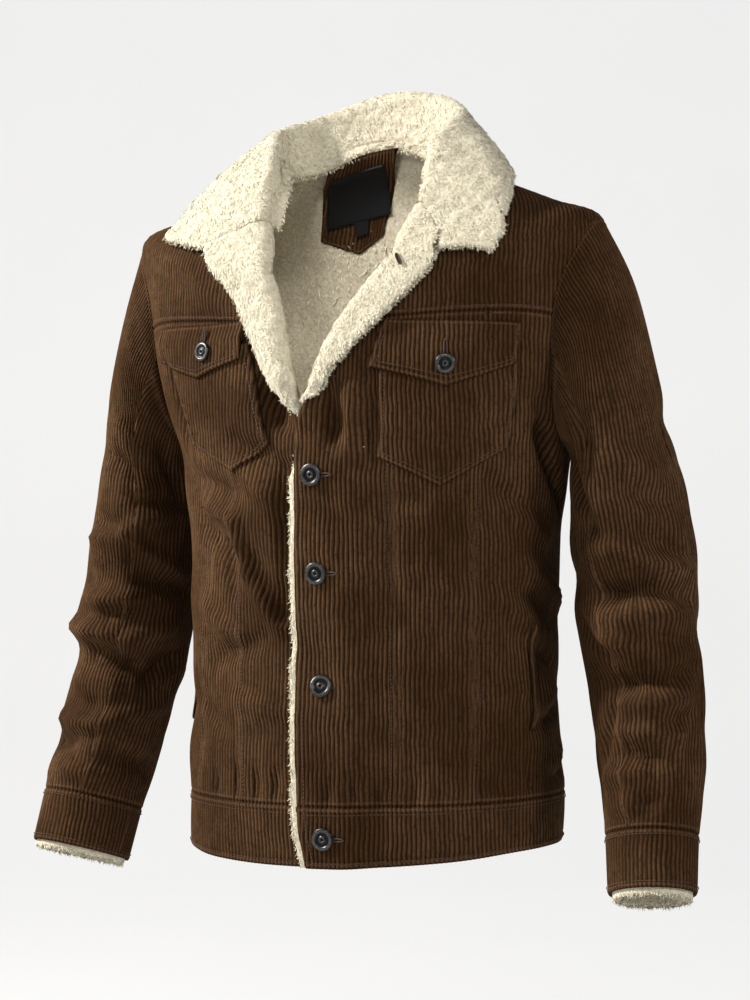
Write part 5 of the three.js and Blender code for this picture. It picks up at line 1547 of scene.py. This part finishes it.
class Wire:
    """A node's output that Python's operators join into maths nodes."""

    def __init__(self, paint, socket):
        self.paint, self.socket = paint, socket

    def maths(self, operation, *others):
        inputs = {0: self, **{k + 1: other for k, other in enumerate(others)}}
        return self.paint.wire("ShaderNodeMath", {"operation": operation}, inputs)

    def __add__(self, other):
        return self.maths("ADD", other)

    def __sub__(self, other):
        return self.maths("SUBTRACT", other)

    def __rsub__(self, other):
        return self.maths("MULTIPLY", -1.0) + other

    def __mul__(self, other):
        return self.maths("MULTIPLY", other)

    def __truediv__(self, other):
        return self.maths("DIVIDE", other)

    def __pow__(self, other):
        return self.maths("POWER", other)

    __radd__, __rmul__ = __add__, __mul__

    def cosine(self):
        return self.maths("COSINE")

    def clamp(self):
        return self.maths("MINIMUM", 1.0).maths("MAXIMUM", 0.0)

    def ramp(self, low, high):
        return ((self - low) / (high - low)).clamp()


class Paint:
    """A material: one Principled shader fed by named values and wires."""

    def __init__(self, name, **constants):
        self.material = bpy.data.materials.new(name)
        self.material.use_nodes = True
        self.tree = self.material.node_tree
        self.tree.nodes.clear()
        output = self.tree.nodes.new("ShaderNodeOutputMaterial")
        self.shader = self.tree.nodes.new("ShaderNodeBsdfPrincipled")
        self.tree.links.new(self.shader.outputs[0], output.inputs[0])
        for key, value in constants.items():
            self.feed(self.shader.inputs[key.replace("_", " ")], value)

    def feed(self, socket, value):
        if isinstance(value, Wire):
            self.tree.links.new(value.socket, socket)
        else:
            socket.default_value = value

    def node(self, kind, settings, inputs):
        made = self.tree.nodes.new(kind)
        for key, value in settings.items():
            setattr(made, key, value)
        for key, value in inputs.items():
            self.feed(made.inputs[key], value)
        return made

    def wire(self, kind, settings, inputs, output=0):
        return Wire(self, self.node(kind, settings, inputs).outputs[output])

    def blend(self, a, b, factor):
        return self.wire("ShaderNodeMix", {"data_type": "RGBA"}, {0: factor, 6: a, 7: b}, 2)

    def place(self):
        return self.wire("ShaderNodeTexCoord", {}, {}, "Object")

    def noise(self, scale, detail=2.0, roughness=0.5, at=None):
        inputs = {"Vector": at or self.place(), "Scale": scale, "Detail": detail, "Roughness": roughness}
        return self.wire("ShaderNodeTexNoise", {}, inputs)

    def bump(self, height, distance, strength=1.0, normal=None):
        inputs = {"Height": height, "Distance": distance, "Strength": strength}
        if normal is not None:
            inputs["Normal"] = normal
        return self.wire("ShaderNodeBump", {}, inputs)

    def coordinate(self, title="cloth"):
        uv = self.wire("ShaderNodeUVMap", {"uv_map": title}, {})
        parts = self.node("ShaderNodeSeparateXYZ", {}, {0: uv})
        return Wire(self, parts.outputs[0]), Wire(self, parts.outputs[1])


def corduroy():
    paint = Paint("corduroy", Roughness=0.85, Specular_IOR_Level=0.05, Sheen_Weight=0.03,
                  Sheen_Roughness=0.4,
                  Sheen_Tint=(0.7, 0.42, 0.24, 1.0))
    across, down = paint.coordinate()
    seam_across, seam_along = paint.coordinate("seam")
    streak = paint.noise(230.0, 3.0, 0.65)
    wobble = paint.noise(90.0, 2.0)
    on_cloth = paint.wire("ShaderNodeCombineXYZ", {}, {0: across * 0.8, 1: down * 0.16, 2: 0.0})
    wale = paint.noise(1.0, 3.0, 0.6, at=on_cloth)
    ridge = ((across * (2 * math.pi) + (wobble - 0.5) * 2.2).cosine() * -0.5 + 0.5) ** 0.8
    ridge = ridge * ((wale - 0.5) * 1.9 + 0.86).clamp()
    worn = paint.noise(11.0, 3.0)
    fine = paint.noise(1300.0, 2.0, 0.65)
    crown = paint.blend((0.056, 0.0265, 0.0098, 1.0), (0.116, 0.062, 0.028, 1.0), worn.ramp(0.36, 0.66))
    crown = paint.blend(crown, (0.021, 0.0085, 0.003, 1.0), streak.ramp(0.5, 0.72) * 0.75)
    # Painted highlight: fine flecks of a lit-crown colour over the pile.
    crown = paint.blend(crown, (0.16, 0.094, 0.050, 1.0), fine.ramp(0.52, 0.8) * 0.6)
    # Painted shade in the wale grooves: where the ridge mask falls off, the colour goes to near-black, and
    # noise breaks the mask up along the wales.
    colour = paint.blend((0.017, 0.0078, 0.0026, 1.0), crown, ridge * 0.95 + 0.05)
    near = 1.0 - seam_across.maths("MINIMUM", seam_along)
    beside_seam = near.ramp(0.58, 0.7) * (1.0 - near.ramp(0.76, 0.86)) * streak.ramp(0.35, 0.6) * 0.4
    colour = paint.blend(colour, (0.16, 0.088, 0.046, 1.0), beside_seam)
    # Painted shade in the seam dips: near-black right at the seams, fading out within about 2 mm.
    colour = paint.blend(colour, (0.004, 0.002, 0.001, 1.0), near.ramp(0.84, 0.98) * 0.5)
    paint.feed(paint.shader.inputs["Base Color"], colour)
    paint.feed(paint.shader.inputs["Normal"], paint.bump(fine + streak * 0.8, 0.0012, 0.6))
    return paint.material


def pile(name, light, shade, deep):
    paint = Paint(name, Roughness=0.95, Sheen_Weight=0.15, Sheen_Roughness=0.6)
    curl = paint.noise(260.0, 3.0, 0.6)
    fine = paint.noise(900.0, 2.0, 0.65)
    wide = paint.noise(45.0, 2.0)
    # Painted shade between the curls: the shade and deep colours fill the hollows of the noise and broader
    # patches, and the light colour stays on the tops.
    colour = paint.blend(light, shade, curl.ramp(0.35, 0.68))
    colour = paint.blend(colour, deep, fine.ramp(0.5, 0.75) * 0.5)
    colour = paint.blend(colour, shade, wide.ramp(0.45, 0.75) * 0.5)
    paint.feed(paint.shader.inputs["Base Color"], colour)
    paint.feed(paint.shader.inputs["Normal"], paint.bump(curl + fine * 0.5, 0.0018, 0.7))
    return paint.material


def wool(name, light, shade, deep):
    """Locks: painted shade at the root, light at the tip, each a little different."""
    paint = Paint(name, Roughness=0.9, Sheen_Weight=0.1, Sheen_Roughness=0.5)
    chance, along = paint.coordinate()
    wide = paint.noise(40.0, 2.0)
    tip = paint.blend(light, shade, chance.ramp(0.4, 1.0) * 0.75)
    tip = paint.blend(tip, shade, wide.ramp(0.45, 0.75) * 0.45)
    colour = paint.blend(deep, tip, along.ramp(0.0, 0.62))
    paint.feed(paint.shader.inputs["Base Color"], colour)
    return paint.material


def plain(name, low, high, roughness):
    paint = Paint(name, Roughness=roughness)
    colour = paint.blend(low, high, paint.noise(700.0, 2.0).ramp(0.35, 0.65))
    paint.feed(paint.shader.inputs["Base Color"], colour)
    return paint.material


def metal():
    paint = Paint("gunmetal", Metallic=0.85)
    grain = paint.noise(900.0, 3.0, 0.6)
    _, rise = paint.coordinate()
    worn = (rise.ramp(2.1, 3.0) * grain.ramp(0.3, 0.55)).clamp()
    colour = paint.blend((0.012, 0.012, 0.013, 1.0), (0.10, 0.099, 0.097, 1.0), worn)
    paint.feed(paint.shader.inputs["Base Color"], colour)
    paint.feed(paint.shader.inputs["Roughness"], grain * 0.25 + 0.22)
    return paint.material


def satin():
    paint = Paint("label_satin", Specular_IOR_Level=0.12)
    across, down = paint.coordinate()
    weave = (across * 900.0).cosine() * (down * 700.0).cosine()
    colour = paint.blend((0.006, 0.006, 0.007, 1.0), (0.013, 0.013, 0.014, 1.0), weave * 0.5 + 0.5)
    paint.feed(paint.shader.inputs["Base Color"], colour)
    paint.feed(paint.shader.inputs["Roughness"], weave * 0.08 + 0.5)
    paint.feed(paint.shader.inputs["Normal"], paint.bump(weave, 0.0002, 0.4))
    return paint.material


SEEN_FROM_NECK = -370.0


def upper_part(points):
    """The cells of a lining that the open neck shows."""
    return points[:-1, :-1, 2] > SEEN_FROM_NECK


def dress(pieces, material):
    for piece in pieces:
        piece.data.materials.clear()
        piece.data.materials.append(material)


brown = corduroy()
dress(corduroy_pieces, brown)
# Fleece colours: the fleece's own light colour, then painted shade and deeper painted shade for hollows and
# lock roots.
CREAM = [(0.72, 0.68, 0.535, 1.0), (0.52, 0.46, 0.325, 1.0), (0.24, 0.19, 0.11, 1.0)]
# The lining is the same fleece as the collar; it gets a lighter copy of the colours, painted light for the
# shaded inside of the jacket.
LIT_LINING_FLEECE = [(0.80, 0.74, 0.585, 1.0), (0.56, 0.495, 0.36, 1.0), (0.22, 0.18, 0.115, 1.0)]
cream, lit_lining = pile("cream_pile", *CREAM), pile("lining_pile", *LIT_LINING_FLEECE)
for piece in pile_pieces:
    lining = piece.name.startswith("lining")
    dress([piece], lit_lining if lining else cream)
    if not lining:
        piece.data.materials.append(brown)
def only_columns(name, first, last):
    """The cells of a pile's surface between two of its columns."""
    keep = np.zeros(np.array(pile_surfaces[name][0].shape[:2]) - 1, bool)
    keep[:, first:last] = True
    return keep


cream_locks = [fleece(f"{name}_locks", *pile_surfaces[name], count, scale=scale) for name, count, scale in (
    ("collar_pile", 31000, 1.0), ("lapel_left_pile", 9500, 1.0), ("lapel_right_pile", 9500, 1.0))]
cream_locks.append(fleece("front_facing_pile_locks", *pile_surfaces["front_facing_pile"], 9000,
                          only_columns("front_facing_pile", 0, 9), 0.95))
for which in ("left", "right"):
    name = f"cuff_lining_{which}_pile"
    cream_locks.append(fleece(f"{name}_locks", *pile_surfaces[name], 3500,
                              only_columns(name, -22, None), 1.0))
lit_lining_locks = [fleece(f"{name}_locks", *pile_surfaces[name], count, upper_part(pile_surfaces[name][0]), 1.7)
             for name, count in (("lining_back_pile", 11000), ("lining_front_right_pile", 3500),
                                 ("lining_front_left_pile", 2500))]
dress(cream_locks, wool("cream_locks", *CREAM))
dress(lit_lining_locks, wool("lining_locks", *LIT_LINING_FLEECE))
dress(button_pieces, metal())
dress(label_pieces, satin())
dress(thread_pieces, plain("thread", (0.034, 0.016, 0.007, 1.0), (0.07, 0.036, 0.017, 1.0), 0.8))
dress(slit_pieces, plain("slit_shadow", (0.006, 0.004, 0.003, 1.0), (0.014, 0.008, 0.005, 1.0), 1.0))

# Camera, floor and light
turn = CAMERA["turn"] * DEG
camera = bpy.data.objects.new("camera", bpy.data.cameras.new("camera"))
bpy.context.scene.collection.objects.link(camera)
camera.location = ((CAMERA["away"] * math.sin(turn) + CAMERA["aside"] * math.cos(turn)) * MM,
                   (-CAMERA["away"] * math.cos(turn) + CAMERA["aside"] * math.sin(turn)) * MM,
                   CAMERA["height"] * MM)
camera.rotation_euler = (math.pi / 2, 0, turn)
camera.data.lens = CAMERA["lens"]
camera.data.sensor_width = 36.0
bpy.context.scene.camera = camera


def light(name, at, target, size, power, colour=(1, 1, 1), kind="AREA"):
    lamp = bpy.data.lights.new(name, kind)
    if kind == "AREA":
        lamp.shape, lamp.size = "DISK", size
    else:
        lamp.shadow_soft_size = size
    lamp.energy, lamp.color = power, colour
    made = bpy.data.objects.new(name, lamp)
    bpy.context.scene.collection.objects.link(made)
    made.location = at
    made.rotation_euler = (Vector(target) - Vector(at)).to_track_quat("-Z", "Y").to_euler()
    return lamp


light("key", (-2.55, -1.3, 1.5), (0, 0, -0.35), 0.4, 225.0, (1.0, 0.965, 0.92))
light("front", (0.5, -2.6, 0.9), (0, 0, -0.2), 0.6, 15.0, (1.0, 0.98, 0.95))
light("side", (2.7, -0.7, 0.9), (0, 0, -0.3), 0.6, 37.0, (1.0, 0.98, 0.96))
neck = light("neck", (0.5, -2.3, 0.6), (-0.01, 0.03, -0.15), 0.12, 45.0, (1.0, 0.98, 0.95), "SPOT")
neck.spot_size, neck.spot_blend = 10.0 * DEG, 1.0
sleeve = light("sleeve", (-2.5, -1.6, 0.3), (-0.27, 0.0, -0.36), 0.15, 85.0, (1.0, 0.965, 0.92), "SPOT")
sleeve.spot_size, sleeve.spot_blend = 15.0 * DEG, 1.0

inside = light("inside", (0.0, -0.06, -0.005), (-0.01, 0.06, -0.17), 0.03, 1.7, (1.0, 0.985, 0.95), "SPOT")
inside.spot_size, inside.spot_blend = 95.0 * DEG, 0.7

WORLD = {"grey": 0.87, "strength": 0.15}
world = bpy.data.worlds.new("studio")
bpy.context.scene.world = world
world.use_nodes = True
world.node_tree.nodes["Background"].inputs[0].default_value = (WORLD["grey"],) * 3 + (1.0,)
world.node_tree.nodes["Background"].inputs[1].default_value = WORLD["strength"]

FLOOR = {"height": -1.25, "half": 6.0, "wallAt": 3.2, "wallHeight": 5.0, "bend": 1.2, "glow": 0.66}


def backdrop():
    """A pale floor that curves up into a wall behind the jacket."""
    angle = np.linspace(0, np.pi / 2, 12)
    run = np.concatenate([[-FLOOR["half"]], FLOOR["wallAt"] + FLOOR["bend"] * np.sin(angle)])
    lift = np.concatenate([[0.0], FLOOR["bend"] * (1 - np.cos(angle))])
    run, lift = np.append(run, run[-1]), np.append(lift, FLOOR["wallHeight"])
    across = np.linspace(-FLOOR["half"], FLOOR["half"], 5)
    away = np.array([-math.sin(turn), math.cos(turn)])
    side = np.array([math.cos(turn), math.sin(turn)])
    points = np.empty((len(run), len(across), 3))
    points[..., :2] = run[:, None, None] * away + across[None, :, None] * side
    points[..., 2] = (FLOOR["height"] + lift)[:, None]
    piece = grid_object("floor", points / MM)
    paint = Paint("pale_floor", Roughness=0.95, Emission_Strength=FLOOR["glow"])
    speck = paint.noise(3.0, 2.0)
    paint.feed(paint.shader.inputs["Base Color"],
               paint.blend((0.24, 0.24, 0.24, 1.0), (0.26, 0.26, 0.26, 1.0), speck))
    paint.feed(paint.shader.inputs["Emission Color"],
               paint.blend((0.99, 0.99, 0.99, 1.0), (1.0, 1.0, 1.0, 1.0), speck))
    dress([piece], paint.material)


backdrop()
bpy.context.scene.view_settings.view_transform = "Standard"
